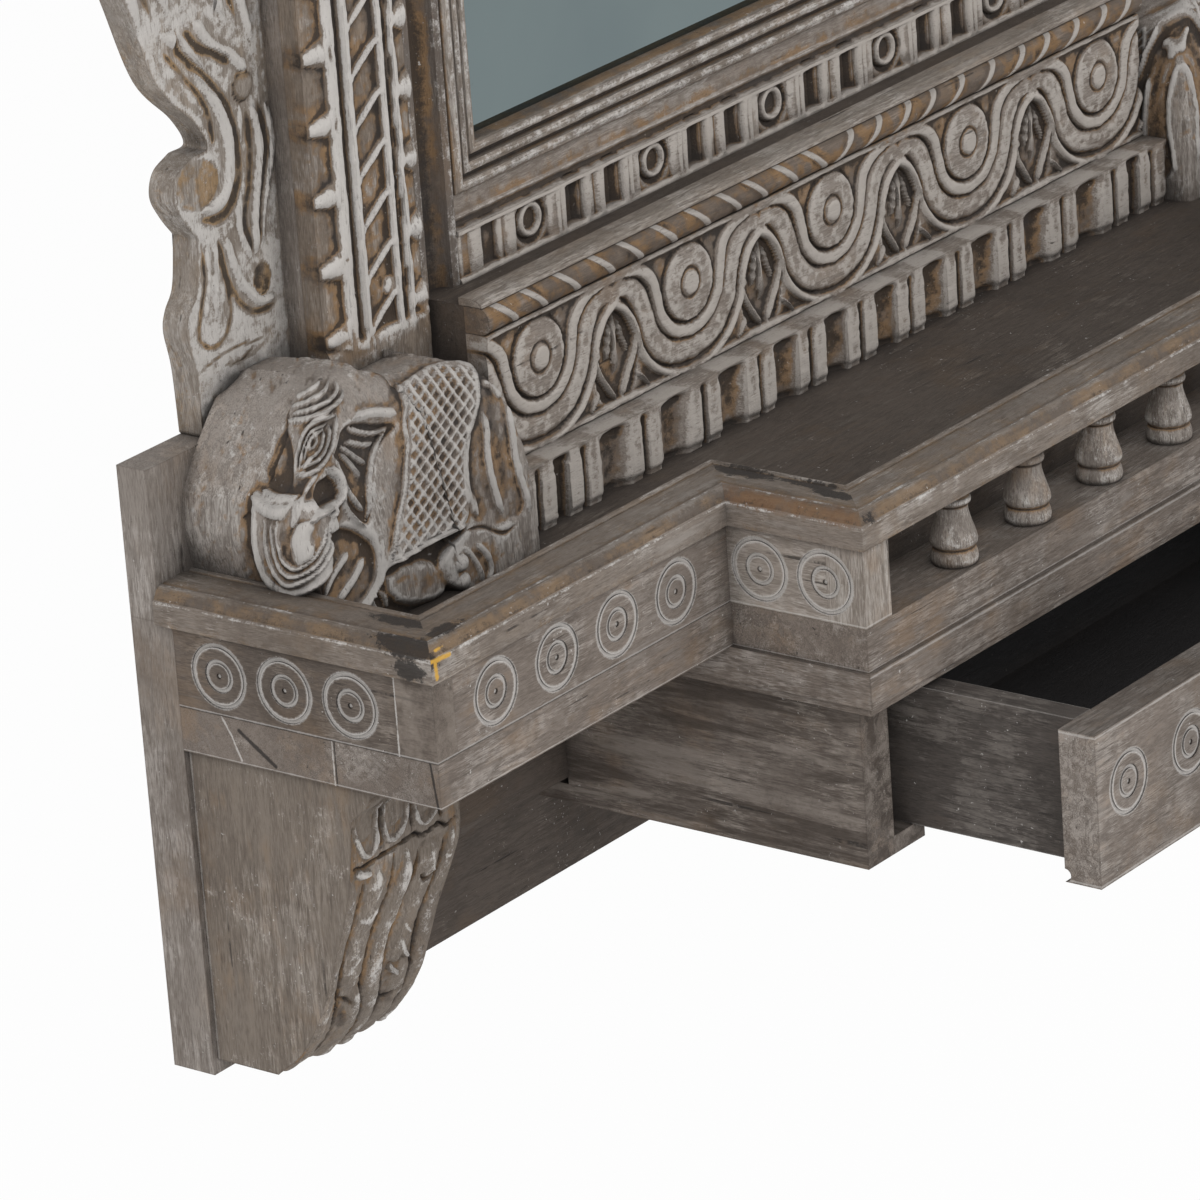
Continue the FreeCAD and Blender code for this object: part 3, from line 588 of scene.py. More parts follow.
def plate(name, outline, depth, backDepth, cell, carve, material, replaced, toneScale, toneShift=0.0,
          mirror=False):
    # A carved board with a sawn outline: the cells of a grid outside it go, and the rim is drawn onto it.
    path = np.array(outline, float)
    low, high = path.min(0), path.max(0)
    columns, rows = round((high[0] - low[0]) / cell), round((high[1] - low[1]) / cell)
    u, v = np.meshgrid(np.linspace(low[0], high[0], columns + 1), np.linspace(low[1], high[1], rows + 1))
    work = Carving(u, v)
    within = work.inside(outline, 0.01) > 0.5
    carve(work)
    tones = crestTone(work.height, round(toneReach / cell), toneScale, work.painted + toneShift)
    bm = bmesh.new()
    bmesh.ops.create_grid(bm, x_segments=columns, y_segments=rows, size=1)
    tone = bm.verts.layers.float.new("carve")
    at = {v: (round((v.co.y + 1) / 2 * rows), round((v.co.x + 1) / 2 * columns)) for v in bm.verts}
    for vert, (j, i) in at.items():
        vert[tone] = float(tones[j, i])
        vert.co = (u[j, i], v[j, i], work.height[j, i])
    outside = [f for f in bm.faces if sum(within[at[vert]] for vert in f.verts) < 3]
    bmesh.ops.delete(bm, geom=outside, context="FACES")
    closed = np.vstack((path, path[:1]))
    starts, steps = closed[:-1], np.diff(closed, axis=0)
    for vert in bm.verts:
        if vert.is_boundary:
            spot = np.array(vert.co[:2])
            share = np.clip(((spot - starts) * steps).sum(1) / ((steps ** 2).sum(1) + 1e-9), 0, 1)
            nearest = starts + steps * share[:, None]
            vert.co.x, vert.co.y = nearest[np.argmin(((nearest - spot) ** 2).sum(1))]
    rim = [e for e in bm.edges if e.is_boundary]
    onSheet = set(bm.verts)
    for vert in bm.verts:
        if vert.is_boundary:
            vert[tone] = rimTone
    bmesh.ops.extrude_edge_only(bm, edges=rim)
    side = -1 if mirror else 1
    for vert in bm.verts:
        out = depth + vert.co.z if vert in onSheet else backDepth
        if vert not in onSheet:
            vert[tone] = backTone
        vert.co = (side * vert.co.x * mm, -out * mm, vert.co.y * mm)
    closeMesh(bm)
    makePiece(name, bm, material, shelfBody, replaced)


# cap mouldings of the shelf and the bay rail

capShape = {
    # out from the frieze, up from its top, and how white or dirty the paint is
    "profile": [
        (-30, 0.2, -0.1), (4, 0, -0.2), (4, 5, -0.05), (4, 11.2, 0.0), (4, 12.3, 0.3), (3.4, 13.0, 0.15),
        (2.8, 13.6, -0.6), (1.9, 15.2, -0.5), (0.6, 17.3, -0.42), (-1.2, 18.9, -0.2), (-2.4, 19.5, 0.25),
        (-3.6, 19.6, 0.15), (-4.6, 19.1, -0.45), (-6.5, 19.8, -0.22), (-12, 20, -0.12), (-20, 20, -0.15),
        (-23.2, 19.6, -0.25), (-24.4, 18.3, -0.6), (-25.4, 18.3, -0.5), (-26.2, 19.5, 0.0), (-27.6, 20, 0.15),
        (-29.2, 19.5, 0.05), (-30, 18, -0.1)],
    "endX": 514, "frontDepth": 192, "bayX": 270, "bayDepth": 277, "wallDepth": 19, "level": 44,
}


def makeCaps():
    c = capShape
    tints = {"base": (132, 122, 113), "dark": (84, 74, 66), "ochre": (122, 100, 76)}
    marks = {
        "x": lineMarks(
            yellows=(((-518, -196.2, 56.5), (-503, -196.2, 55.5), 1.4),
                     ((-515, -196.2, 56), (-514, -196.2, 47), 1.5),
                     ((-511, -194, 60), (-505, -194, 60.5), 1.0)),
            spots=(((-517, -196, 58), (5, 3, 6)), ((-266, -285, 61), (11, 6, 4)),
                   ((-495, -186, 64), (14, 4, 3)))),
        "y": lineMarks(
            spots=(((-514, -173, 62.6), (4, 14, 2.6)), ((-515.5, -180, 59), (5, 15, 3.4)),
                   ((-518, -182, 50), (3, 8, 5)), ((-496, -160, 64), (5, 16, 3)),
                   ((-513, -189, 62), (5, 8, 4)), ((-249, -189, 64), (7, 18, 3)),
                   ((-248, -231, 64), (5, 16, 3)), ((-255, -252, 64), (4, 14, 3))),
            browns=(((-270.5, -222, 60), (6, 42, 4.4)), ((-271, -266, 60), (6, 14, 4.4)))),
    }
    wood = {grain: woodFinish("capWood" + grain.upper(), grain, tints, 0.4, 0.35, True, marks[grain], 0.72,
                              0.65, edges=0) for grain in "xy"}
    wall, corner, inside, bayLeft, bayRight = (
        (x, -depth, c["level"]) for x, depth in (
            (-c["endX"], c["wallDepth"]), (-c["endX"], c["frontDepth"]), (-c["bayX"], c["frontDepth"]),
            (-c["bayX"], c["bayDepth"]), (c["bayX"], c["bayDepth"])))
    out, front, up = (-1, 0, 0), (0, -1, 0), (0, 0, 1)
    for side, mirror in sides:
        for name, begin, end, outward, mitres, grain, node, seed in (
                ("endCap", wall, corner, out, (0, 1), "y", "cap_end_" + side.lower(), 3),
                ("frontCap", corner, inside, front, (-1, -1), "x", "cap_front_" + side.lower(), 4),
                ("bayCap", inside, bayLeft, out, (1, 1), "y", "cap_returns", 5)):
            sweep(name + side, c["profile"], begin, end, outward, up, mitres, wood[grain],
                  [node], seed, mirror)
    sweep("bayRailCap", c["profile"], bayLeft, bayRight, front, up, (-1, 1), wood["x"],
          ["bay_rail"], 6)
    print("caps made")


makeCaps()


# balusters

balusterShape = {
    "profile": [  # radius and height from the foot up
        (0, 0), (11.2, 0), (12.3, 1.2), (12.6, 3.4), (12.2, 6.2), (11.4, 8.2), (10.9, 9.2), (11.5, 10.2),
        (12.5, 11.6), (12.7, 13.2), (12.3, 15.4), (11.4, 18.4), (10.3, 21.8), (9.3, 25.2), (8.5, 28.4),
        (8.3, 30.6), (8.4, 31.6), (7.9, 32.2), (8.6, 32.9), (9.8, 33.6), (10.1, 35.0), (9.8, 36.4),
        (8.9, 37.2), (8.4, 38.2), (9.0, 40.6), (9.6, 44), (0, 44)],
    # the tone of points of the profile, where it isn't 0.1
    "tones": {5: -0.3, 6: -0.9, 7: -0.4, 16: -0.3, 17: -0.9, 18: -0.3, 9: 0.25, 10: 0.2, 14: 0.15, 20: 0.3,
              3: 0.2, 22: -0.5},
    "count": 6, "pitch": 68, "depth": 263, "steps": 40,
}


def makeBalusters():
    c = balusterShape
    wood = woodFinish("balusterWood", "z", {"base": (136, 128, 121)}, 0.55, 0.35, True)
    for i in range(c["count"]):
        bm = bmesh.new()
        tone = bm.verts.layers.float.new("carve")
        ring = [bm.verts.new((r * mm, 0, z * mm)) for r, z in c["profile"]]
        for k, v in enumerate(ring):
            v[tone] = c["tones"].get(k, 0.1)
        edges = [bm.edges.new(pair) for pair in zip(ring, ring[1:])]
        bmesh.ops.spin(bm, geom=ring + edges, cent=(0, 0, 0), axis=(0, 0, 1), angle=2 * pi, steps=c["steps"],
                       use_merge=True, use_duplicate=False)
        bmesh.ops.remove_doubles(bm, verts=bm.verts, dist=1e-6)
        bmesh.ops.recalc_face_normals(bm, faces=bm.faces)
        x = (i - (c["count"] - 1) / 2) * c["pitch"]
        bmesh.ops.translate(bm, verts=bm.verts, vec=(x * mm, -c["depth"] * mm, 0))
        makePiece("baluster%d" % (i + 1), bm, wood, shelfBody, ["balusters"])
    print("balusters made")


makeBalusters()


# elephants

elephantShape = {
    "leftEdge": ((27, -483.5), (60, -484), (72, -487), (87, -490), (105, -488), (122, -477), (138, -463),
                 (148, -453), (154, -445), (157, -437)),  # height and x
    "rightEdge": ((27, -306), (50, -306), (85, -309), (110, -315), (125, -323), (134, -336), (141, -350)),
    "topLine": ((-490, 157), (-436, 157), (-420, 154), (-403, 150), (-386, 147), (-370, 144), (-353, 141),
                (-306, 141)),  # x and height
    "frontDepth": ((27, 103), (60, 102), (80, 100), (100, 97), (120, 92), (135, 86), (157, 80)),
    "backDepth": 19, "pilasterBack": 43, "rounding": 15, "topRounding": 13, "cell": 1.15, "floor": 27.0,
    "pilasterEdge": -393, "spine": (-436, -352), "deep": 85.0, "wide": 184.0, "leftmost": -490,
    "sheet": (354, 225),  # the way round the body, and up and over it
    # the sideways and upward slip of a mark for each millimetre of depth behind 104
    "slip": (-1.263, 0.657), "slipDepth": 104,
    "rug": ((-415, 153), (-389, 154), (-361, 143), (-358, 131), (-362, 118), (-371, 104), (-373, 88),
            (-373.5, 65), (-401, 65.5), (-430, 64), (-423, 79), (-416.5, 96), (-411.5, 118), (-411.5, 137)),
    "hollows": (  # level, soft edge, and the outline
        (5.5, 7, -534, 136, -538, 114, -533, 96, -524, 82, -508, 72, -490, 71, -477, 84, -474, 100, -484, 112,
         -500, 120), (-1.6, 3, -525, 147, -513, 160, -505, 158, -503, 136, -509, 127, -521, 133),
        (-2.6, 3, -469, 133.5, -459, 145.5, -436, 139, -422, 133.5, -431.5, 128.5, -438, 123, -442, 110.5,
         -444, 95.5, -448.5, 89, -461.5, 101.5, -465.5, 116.5),
        (-3.4, 3, -476, 124, -471, 118, -471, 112, -480, 110, -488, 112, -485, 122),
        (-4.5, 5, -481.5, 94.5, -464.5, 92.5, -447, 80, -441, 66, -449, 50, -500, 40, -505, 62, -482, 76),
        (1.6, 2.2, -418, 153, -389, 156, -359, 146, -355, 131, -360, 117, -369, 105, -371, 88, -371, 64, -401,
         63, -433, 62, -426, 79, -419, 96, -413, 118, -413.5, 137),
        (-1.4, 4, -352, 148, -355, 118, -366, 100, -362, 60, -336, 52, -322, 58, -330, 100, -334, 122),
        (-8.5, 4, -470, 27, -440, 52, -432, 59, -404, 61, -378, 60, -372, 59, -388, 52, -392, 40, -380, 22),
        (-3, 8, -434, 55, -418, 57, -398, 52, -388, 42, -386, 30, -400, 29, -420, 35, -432, 45)),
    "ridges": (  # width, height, and the points
        (3.2, 1.8, -497.5, 175, -489, 174, -481, 174.5, -477, 177),
        (3.4, 2.2, -502, 171, -486.5, 168.5, -475, 169.5, -470.5, 175),
        (3.4, 2.4, -501.5, 167, -485.5, 163.5, -472, 163.5, -465, 167, -466.5, 173),
        (3.6, 2.6, -505.5, 165, -487.5, 159.5, -473, 159, -462.5, 161.5, -461, 166.5),
        (3.6, 2.6, -466.5, 154.5, -482, 156, -491.5, 153, -497, 146, -500, 139, -501.5, 134),
        (3.6, 2.6, -466.5, 154.5, -469, 145.5, -472.5, 137.5, -481, 131.5, -491.5, 130.5, -501.5, 134),
        (2.5, 2.4, -474, 152, -487, 151.5, -493.5, 144.5, -497.5, 136),
        (2.5, 2.4, -474, 152, -473.5, 146, -477, 139, -484, 135, -497.5, 136),
        (2.2, 2.3, -478, 150, -486.5, 149, -491, 144, -494, 137.5),
        (2.2, 2.3, -478, 150, -478.5, 145.5, -481.5, 140.5, -487.5, 138, -494, 137.5),
        (2, 2.2, -484, 149.5, -488, 146.5, -488.5, 143, -484, 144.5, -484, 149.5),
        (4, 2.2, -483.5, 128.5, -491.5, 124.5, -498.5, 117.5, -503.5, 107),
        (4.4, 2.6, -528, 136, -520, 130.5, -510, 125, -501.5, 121.5, -497, 123),
        (4.8, 3, -533.5, 133.5, -526.5, 127, -517, 120, -507, 116, -503.5, 118),
        (5, 2, -531, 127, -532, 116, -531, 103.5, -526.5, 91.5, -516, 81.5, -505, 75, -493, 73.5, -485, 78),
        (3.4, 2.2, -522.5, 121.5, -523, 110.5, -521, 98, -515, 87, -507, 80.5, -495, 79.5, -485.5, 85.5,
         -480.5, 96, -479, 100.5),
        (2.8, 2.2, -516.5, 118, -517, 107.5, -515.5, 97, -510.5, 88.5, -503.5, 83.5, -494.5, 83.5, -487, 90,
         -484, 97, -482.5, 100.5),
        (2.6, 2.2, -512, 116.5, -513, 106, -511.5, 97.5, -507, 91, -501.5, 87, -495, 88, -489.5, 93, -487, 98,
         -486.5, 101.5), (10.5, 2.6, -496, 108, -499.5, 101, -499, 94, -495, 89),
        (6, 4.4, -477, 128.5, -470, 123.5, -466.5, 116.5, -468.5, 110, -476.5, 107, -483, 103.5),
        (5, 4.2, -496, 107, -488.5, 108.5, -480.5, 109, -473, 110.5),
        (6, 2.4, -494, 67, -485.5, 74.5, -476.5, 78.5), (6.5, 2.6, -484, 60.5, -473.5, 70, -460.5, 78),
        (6.5, 2.4, -471, 55, -458, 62.5, -449, 71),
        (6.5, 2.6, -455, 148, -442.5, 147, -429.5, 143, -420, 139),
        (3.6, 3.2, -458, 145, -451, 140.5, -441, 136, -432.5, 134, -425.5, 134.5),
        (3.4, 3, -460, 138, -451.5, 134, -444.5, 131, -437.5, 129.5),
        (3, 3, -463.5, 136.5, -458, 131.5, -451, 125.5, -444.5, 120.5),
        (2.8, 3, -464, 133, -458.5, 126.5, -453.5, 120, -449.5, 115),
        (3.6, 3.2, -469.5, 132, -465.5, 124, -462, 115, -456.5, 105.5, -448.5, 95.5),
        (3.4, 3.4, -425.5, 134.5, -433, 130, -439, 124, -442, 116.5, -444, 107, -445, 96.5, -448.5, 90),
        (3.2, 3, -478.5, 129, -472, 124.5, -467, 117, -466, 110, -465, 103.5, -458, 95, -450, 87.5),
        (2.8, 2.6, -419, 157.5, -414, 143.5, -415, 131, -414, 120.5, -416.5, 107.5, -420, 95, -425.5, 83,
         -434, 62), (2.8, 3.4, -434, 61.5, -422, 63, -404, 63.5, -385.5, 63.5, -372, 62.5),
        (3.6, 2.6, -359.5, 144.5, -356.5, 135.5, -356.5, 125.5, -361, 117, -366, 110.5, -371, 102.5),
        (8.5, 2.2, -363.5, 114.5, -367, 103, -368.5, 91.5, -368.5, 79.5, -364, 71, -359, 62.5),
        (6, 2.4, -350.5, 117.5, -348, 106.5, -348.5, 93, -347, 80, -343.5, 67, -339, 56.5),
        (5, 2, -331, 114, -328.5, 99, -327.5, 86, -324.5, 72.5, -320.5, 60, -319, 50.5),
        (4.2, 2, -349.5, 134, -341, 127.5, -334.5, 119.5),
        (3.6, 2, -375, 51.5, -367, 42, -362.5, 33, -361.5, 27),
        (4.2, 2.2, -364.5, 50, -356, 40, -354, 32.5, -358, 26.5),
        (3.6, 2.6, -446, 49.5, -441, 43.5, -438.5, 38), (3.6, 2.6, -438.5, 50, -433.5, 44, -429.5, 36)),
    # dark strokes, their level below 0: painted shade in the hollow under the belly and in the hollows and
    # creases of the head and rump
    "shadeStrokes": (  # width, level of whitewash, and the points
        (34, -0.6, -440, 48, -415, 42, -392, 38), (12, -0.45, -512, 160, -507, 146, -516, 134),
        (12, -0.6, -470, 116, -480, 116), (16, -0.25, -530, 60, -520, 72, -500, 66),
        (14, -0.3, -545, 130, -530, 140, -520, 150), (8, -0.35, -346, 140, -340, 100, -334, 60)),
}


def carveElephant(work):
    # trunk, ear, rug, legs and the hollow under the rug
    c = elephantShape
    for outline, level, soft in strokes(c["hollows"]):
        work.sink(outline, level, soft)
    # crossed lines on the rug
    rug = work.inside(c["rug"], 1.5)
    lattice = np.zeros(work.u.shape)
    for slope, pitch in ((0.57, 7.0), (-1.35, 10.6)):
        phase = (work.v - slope * work.u) / pitch
        away = np.abs(phase - np.round(phase)) * pitch / np.hypot(1, slope)
        lattice = np.maximum(lattice, hump(away / 1.25, 0.6))
    work.height += rug * (lattice * 1.9 - 0.6)
    work.painted -= rug * (0.2 - lattice * 0.36)
    for points, width, height in strokes(c["ridges"]):
        work.ridge(points, width, height, 0.14)
    # painted shade: dark strokes in the hollow under the belly and in the creases of the head and rump
    for points, width, level in strokes(c["shadeStrokes"]):
        work.paint(points, width, level)
    work.boss((-377.5, 43.5), 4.6, 3.4)
    work.boss((-376.5, 33), 4.6, 3.2)
    work.groove(((-548, 128.5), (-539.5, 128), (-535, 132.5)), 3, 1.2, 0.3)
    work.groove(((-504, 171), (-507.5, 160.5), (-512.5, 153), (-520, 145.5), (-524, 137)), 3, 1.4, 0.1)
    work.groove(((-371, 59), (-355.5, 55), (-341, 47), (-329.5, 48)), 3, 1.6, 0.2)
    work.wear(0.35, 7.0, 11)
    work.wear(0.22, 2.6, 12)


def elephantSurface(s, t):
    # The smooth body under the carving: s runs round it from the wall to the wall, t up and over its top.
    c = elephantShape
    deep, wide, floor = c["deep"], c["wide"], c["floor"]
    q = np.linspace(-60, 2 * deep + wide + 60, 1200)
    straightX = np.clip(q - deep, 0, wide)
    straightY = np.where(q < deep, q, np.where(q < deep + wide, deep, 2 * deep + wide - q))
    window = np.hanning(int(2.4 * c["rounding"] / (q[1] - q[0])))
    window /= window.sum()
    edge = len(window)
    padX, padY = (np.pad(a, edge, mode="reflect", reflect_type="odd") for a in (straightX, straightY))
    roundX = np.convolve(padX, window, "same")[edge:-edge]
    roundY = np.convolve(padY, window, "same")[edge:-edge]
    place = s * (2 * deep + wide)
    a, b = np.interp(place, q, roundX) / wide, np.interp(place, q, roundY) / deep
    left, right = (np.array(c[key]) for key in ("leftEdge", "rightEdge"))
    top, frontDepth = np.array(c["topLine"]), np.array(c["frontDepth"])
    crown = np.interp(c["leftmost"] + a * wide, top[:, 0], top[:, 1])
    turn = c["topRounding"]
    wall = crown - turn - floor

    def section(z):
        xl, xr = np.interp(z, left[:, 0], left[:, 1]), np.interp(z, right[:, 0], right[:, 1])
        return xl + a * (xr - xl), c["backDepth"] + b * (np.interp(z, frontDepth[:, 0], frontDepth[:, 1])
                                                         - c["backDepth"])
    crownX, crownDepth = section(crown)
    spineX = np.clip(crownX, *c["spine"])
    spineDepth = np.where(crownX < c["pilasterEdge"], c["backDepth"], c["pilasterBack"])
    across = np.hypot(crownX - spineX, crownDepth - spineDepth) + 1e-3
    total = wall + turn * pi / 2 + np.maximum(across - turn, 0)
    run = t * total
    angle = np.clip((run - wall) / turn, 0, pi / 2)
    z = np.where(run < wall, floor + run, crown - turn + turn * np.sin(angle))
    inset = np.where(run < wall, 0, turn * (1 - np.cos(angle)) + np.maximum(run - wall - turn * pi / 2, 0))
    inset = np.minimum(inset, across)
    x, depth = section(z)
    share = inset / across
    x, depth = x + (spineX - x) * share, depth + (spineDepth - depth) * share
    z = z - 5.0 * share ** 2
    depth = np.where((x > c["pilasterEdge"]) & (depth < c["pilasterBack"]), c["pilasterBack"], depth)
    return x, depth, z


def makeElephants():
    c = elephantShape
    wood = woodFinish("elephantWood", "z", {"base": (148, 140, 133), "light": (170, 164, 158),
                                            "wash": (188, 184, 180)}, 0.5, 0.25, True, topDustAndShade=0.9)
    columns, rows = (round(length / c["cell"]) for length in c["sheet"])

    def front(s, t):
        x, depth, z = elephantSurface(s, t)
        slip = c["slipDepth"] - depth
        work = Carving(x + c["slip"][0] * slip, z + c["slip"][1] * slip)
        carveElephant(work)
        place = np.stack((x, -depth, z), -1)
        alongS, alongT = np.gradient(place, axis=1), np.gradient(place, axis=0)
        normal = np.cross(alongS, alongT)
        normal /= np.linalg.norm(normal, axis=-1, keepdims=True) + 1e-9
        fade = easeIn(depth, c["backDepth"] + 1, c["backDepth"] + 9) * easeIn(s, 0, 0.01)
        fade = fade * easeIn(1 - s, 0, 0.01) * easeIn(1 - t, 0.0, 0.06)
        lift = work.height * fade
        place = place + normal * lift[..., None]
        place[..., 2] = np.maximum(place[..., 2], c["floor"])
        tones = crestTone(lift, 3, 1.3, work.painted)
        return place[..., 0], -place[..., 1], place[..., 2], tones * fade

    def back(x, depth, z):
        return x, c["backDepth"] if x < c["pilasterEdge"] else c["pilasterBack"], z
    for side, mirror in sides:
        gridPiece("elephant" + side, columns, rows, front, back, wood, ["elephant_" + side.lower()], 50,
                  mirror)
    print("elephants made")


makeElephants()


# carved apron

carvedWood = woodFinish("carvedWood", "x", {"base": (148, 139, 131), "light": (172, 165, 158),
                                            "wash": (188, 181, 174), "dark": (102, 90, 80)},
                        0.5, 0.3, True, topDustAndShade=0.9)

friezeShape = {
    "halfWidth": 305.5, "bottom": 64, "top": 137, "depth": 75, "back": 60, "cell": 1.0, "ground": -2.6,
    "pitch": 131, "count": 5, "discHeight": 112, "discRadius": 21.8,
    # strokes from the middle of a disc to the middle of the next space
    "band": ((0, -26.5), (14, -23), (24.5, -12.5), (28, 0), (31.5, 11), (41, 19), (54, 22.5), (65.5, 23)),
    "darkBand": ((0, -37.5), (20, -33), (33, -21), (38.5, -6), (44, 6), (52, 14), (60, 15), (64, 9)),
    "outer": ((0, -48), (20, -45), (35, -36), (45, -23), (49, -9), (56, 2), (65.5, 8)),
    "lineInner": ((0, -30.8), (17, -27), (28.5, -15), (32.5, -2), (36.5, 9), (45, 16), (56, 19)),
    "lineOuter": ((0, -45), (20, -41.5), (34, -33), (42.5, -20), (46, -8), (52, 4), (60, 10)),
    "arch": ((65.5, -44), (52, -42), (47, -22), (51, -9), (57, 0), (65, 5)),
    "bud": ((47, -12), (50, -24), (57, -35), (63.5, -45)),
    "veins": (((65.5, 4), (65, -14), (66, -33)), ((62, -1), (60, -12), (58, -22)),
              ((69, -1), (72, -12), (77, -22))),
}


def carveFrieze(work):
    c = friezeShape
    half = c["count"] // 2
    work.shiftGround(c["ground"])
    for i in range(-half - 1, half + 2):
        # the sunk field inside each arch
        middle, level = (i + 0.5) * c["pitch"], c["discHeight"]
        left, right = ([(side * (a - c["pitch"] / 2), b) for a, b in c["arch"]] for side in (-1, 1))
        work.sink([(middle + a, level + b) for a, b in left + right[::-1]], -5.4, 1.6)
    for i in range(-half - 1, half + 2):
        centre, level = i * c["pitch"], c["discHeight"]
        for side in (-1, 1):
            def at(points):
                return [(centre + side * a, level + b) for a, b in points]
            work.ridge(at(c["darkBand"]), 14.5, 1.9, 0, 4.5)
            work.ridge(at(c["band"]), 8.6, 2.7, 0, 2.6)
            work.ridge(at(c["outer"]), 6.0, 3.0, 0)
            work.ridge(at(c["bud"]), 4.4, 4.4, 0.12)
            work.ridge(at(((49, -35), (44, -40), (39, -46))), 2.6, 3.4, 0.3)
            for line, wide in ((c["lineInner"], 1.7), (c["lineOuter"], 1.9)):
                work.groove(at(line), wide, 1.5, 0)
        for points in c["veins"]:
            work.ridge([(centre + a, level + b) for a, b in points], 2.4, 4.2, 0.25)
        # the disc: a dark line round it, a low dome, and a boss
        away = np.hypot(work.u - centre, work.v - level)
        dome = -0.6 + 1.2 * hump(away / c["discRadius"])
        work.height += (dome - work.height) * easeIn(c["discRadius"] - away, -0.8, 0.8)
        work.height -= 1.9 * hump((away - c["discRadius"]) / 1.3)
        work.height -= 1.4 * hump((away - 8.2) / 1.4)
        point = -1.6 + 5.0 * hump(away / 7.4, 0.7)
        work.height = np.where(away < 7.4, np.maximum(work.height, point), work.height)
        work.painted += 0.35 * hump(away / 5.5) - 0.12 * np.clip(c["discRadius"] - away, 0, 1)
    for edge in (c["top"] - 1.4, c["bottom"] + 1.4):
        work.ridge(((-c["halfWidth"] - 9, edge), (c["halfWidth"] + 9, edge)), 4.6, 3.0, 0)
        work.paint(((-c["halfWidth"] - 9, edge), (c["halfWidth"] + 9, edge)), 7, -0.5, 0)
    work.wear(0.34, 9.0, 21)
    work.wear(0.26, 2.9, 22)
    work.height = np.minimum(work.height, 1.6)


fluteShape = {
    "halfWidth": 305.5, "bottom": 27, "top": 64, "depth": 89, "back": 60, "cell": 1.0,
    "pairs": (-290, -251, -198, -145, -94, -47, 0, 47, 94, 145, 198, 251, 290), "offset": 8.2, "width": 12,
}


def carveFlutes(work):
    c = fluteShape
    up = (work.v - c["bottom"]) / (c["top"] - c["bottom"])
    ridges = np.zeros(work.u.shape)
    for i, centre in enumerate(c["pairs"]):
        for side in (-1, 1):
            middle = centre + side * c["offset"]
            half = (c["width"] / 2 + 0.5 * np.sin(i * 2.3 + side)) * (1 - 0.25 * easeIn(up, 0.72, 1.0))
            away = np.abs(work.u - middle)
            ridges = np.maximum(ridges, easeIn(half - away, -0.4, 1.3))
    middles = np.array(c["pairs"])
    nearest = np.abs(work.u[..., None] - (middles[1:] + middles[:-1]) / 2).min(-1)
    scoop = 1.2 + 5.6 * hump(nearest / 11.5)
    work.height -= scoop * easeIn(1.0 - up, 0.0, 0.13) * (1 - ridges)
    for centre in c["pairs"]:
        work.height -= 3.2 * hump((work.u - centre) / 2.2) * easeIn(1.0 - up, 0.02, 0.2)
    work.height -= 1.5 * easeIn(0.14 - up, 0, 0.1)
    work.wear(0.4, 9.0, 31)
    work.wear(0.25, 2.8, 32)
    work.height = np.minimum(work.height, 0)


ropeShape = {
    "halfWidth": 305.5, "back": 60, "middleDepth": 70, "level": 144.5, "radius": 7.4, "cell": 1.0, "rows": 26,
    "tops": (298, 273, 245, 215, 190, 160, 130, 102, 78, 50, 23), "lean": 20, "width": 3.6,
}


def makeRope(material):
    c = ropeShape

    def front(s, t):
        x = (2 * s - 1) * c["halfWidth"]
        angle = (t - 0.5) * pi
        lift = c["level"] + c["radius"] * np.sin(angle)
        work = Carving(x, lift)
        for top in c["tops"]:
            for side in (-1, 1):
                work.ridge(((side * top, c["level"] + 8.5), (side * (top - c["lean"] * 0.45), c["level"] + 1),
                            (side * (top - c["lean"]), c["level"] - 8.5)), c["width"] + 0.8, 1.6, 0)
        work.wear(0.25, 6.0, 41)
        work.height = np.clip(work.height, -1, 1.4)
        radius = c["radius"] - 1.2 + work.height
        depth = c["middleDepth"] + radius * np.cos(angle)
        return x, depth, c["level"] + (c["radius"] - 0.2) * np.sin(angle), crestTone(work.height, 4, 0.8)
    gridPiece("ropeMoulding", round(2 * c["halfWidth"] / c["cell"]), c["rows"], front,
              lambda x, d, z: (x, c["back"], z), material, ["rope_moulding"])


def makeApron():
    for name, c, sink, carve, toneScale, toneShift, node in (
            ("guillocheFrieze", friezeShape, 1.6, carveFrieze, 1.25, 0.08, "guilloche_frieze"),
            ("fluteBorder", fluteShape, 0, carveFlutes, 1.8, 0.0, "flute_border")):
        panel(name, (-c["halfWidth"], c["halfWidth"]), (c["bottom"], c["top"]), c["depth"] - sink, c["back"],
              c["cell"], carve, carvedWood, [node], toneScale, toneShift)
    makeRope(woodFinish("ropeWood", "x", {"base": (108, 96, 86), "light": (138, 125, 114),
                                          "wash": (182, 176, 170)}, 0.4, 0.3, True))
    print("apron made")


makeApron()


# mirror frame: ring bands, reeds, coves and pilasters

ringBandShape = {
    "halfWidth": 279, "depth": 39, "back": 27, "cell": 1.0, "bottom": (152, 200), "top": (866, 914),
    "rings": (-216, -108, 0, 108, 216), "ringRise": 16, "units": (24, 58), "flatRise": 29,
}


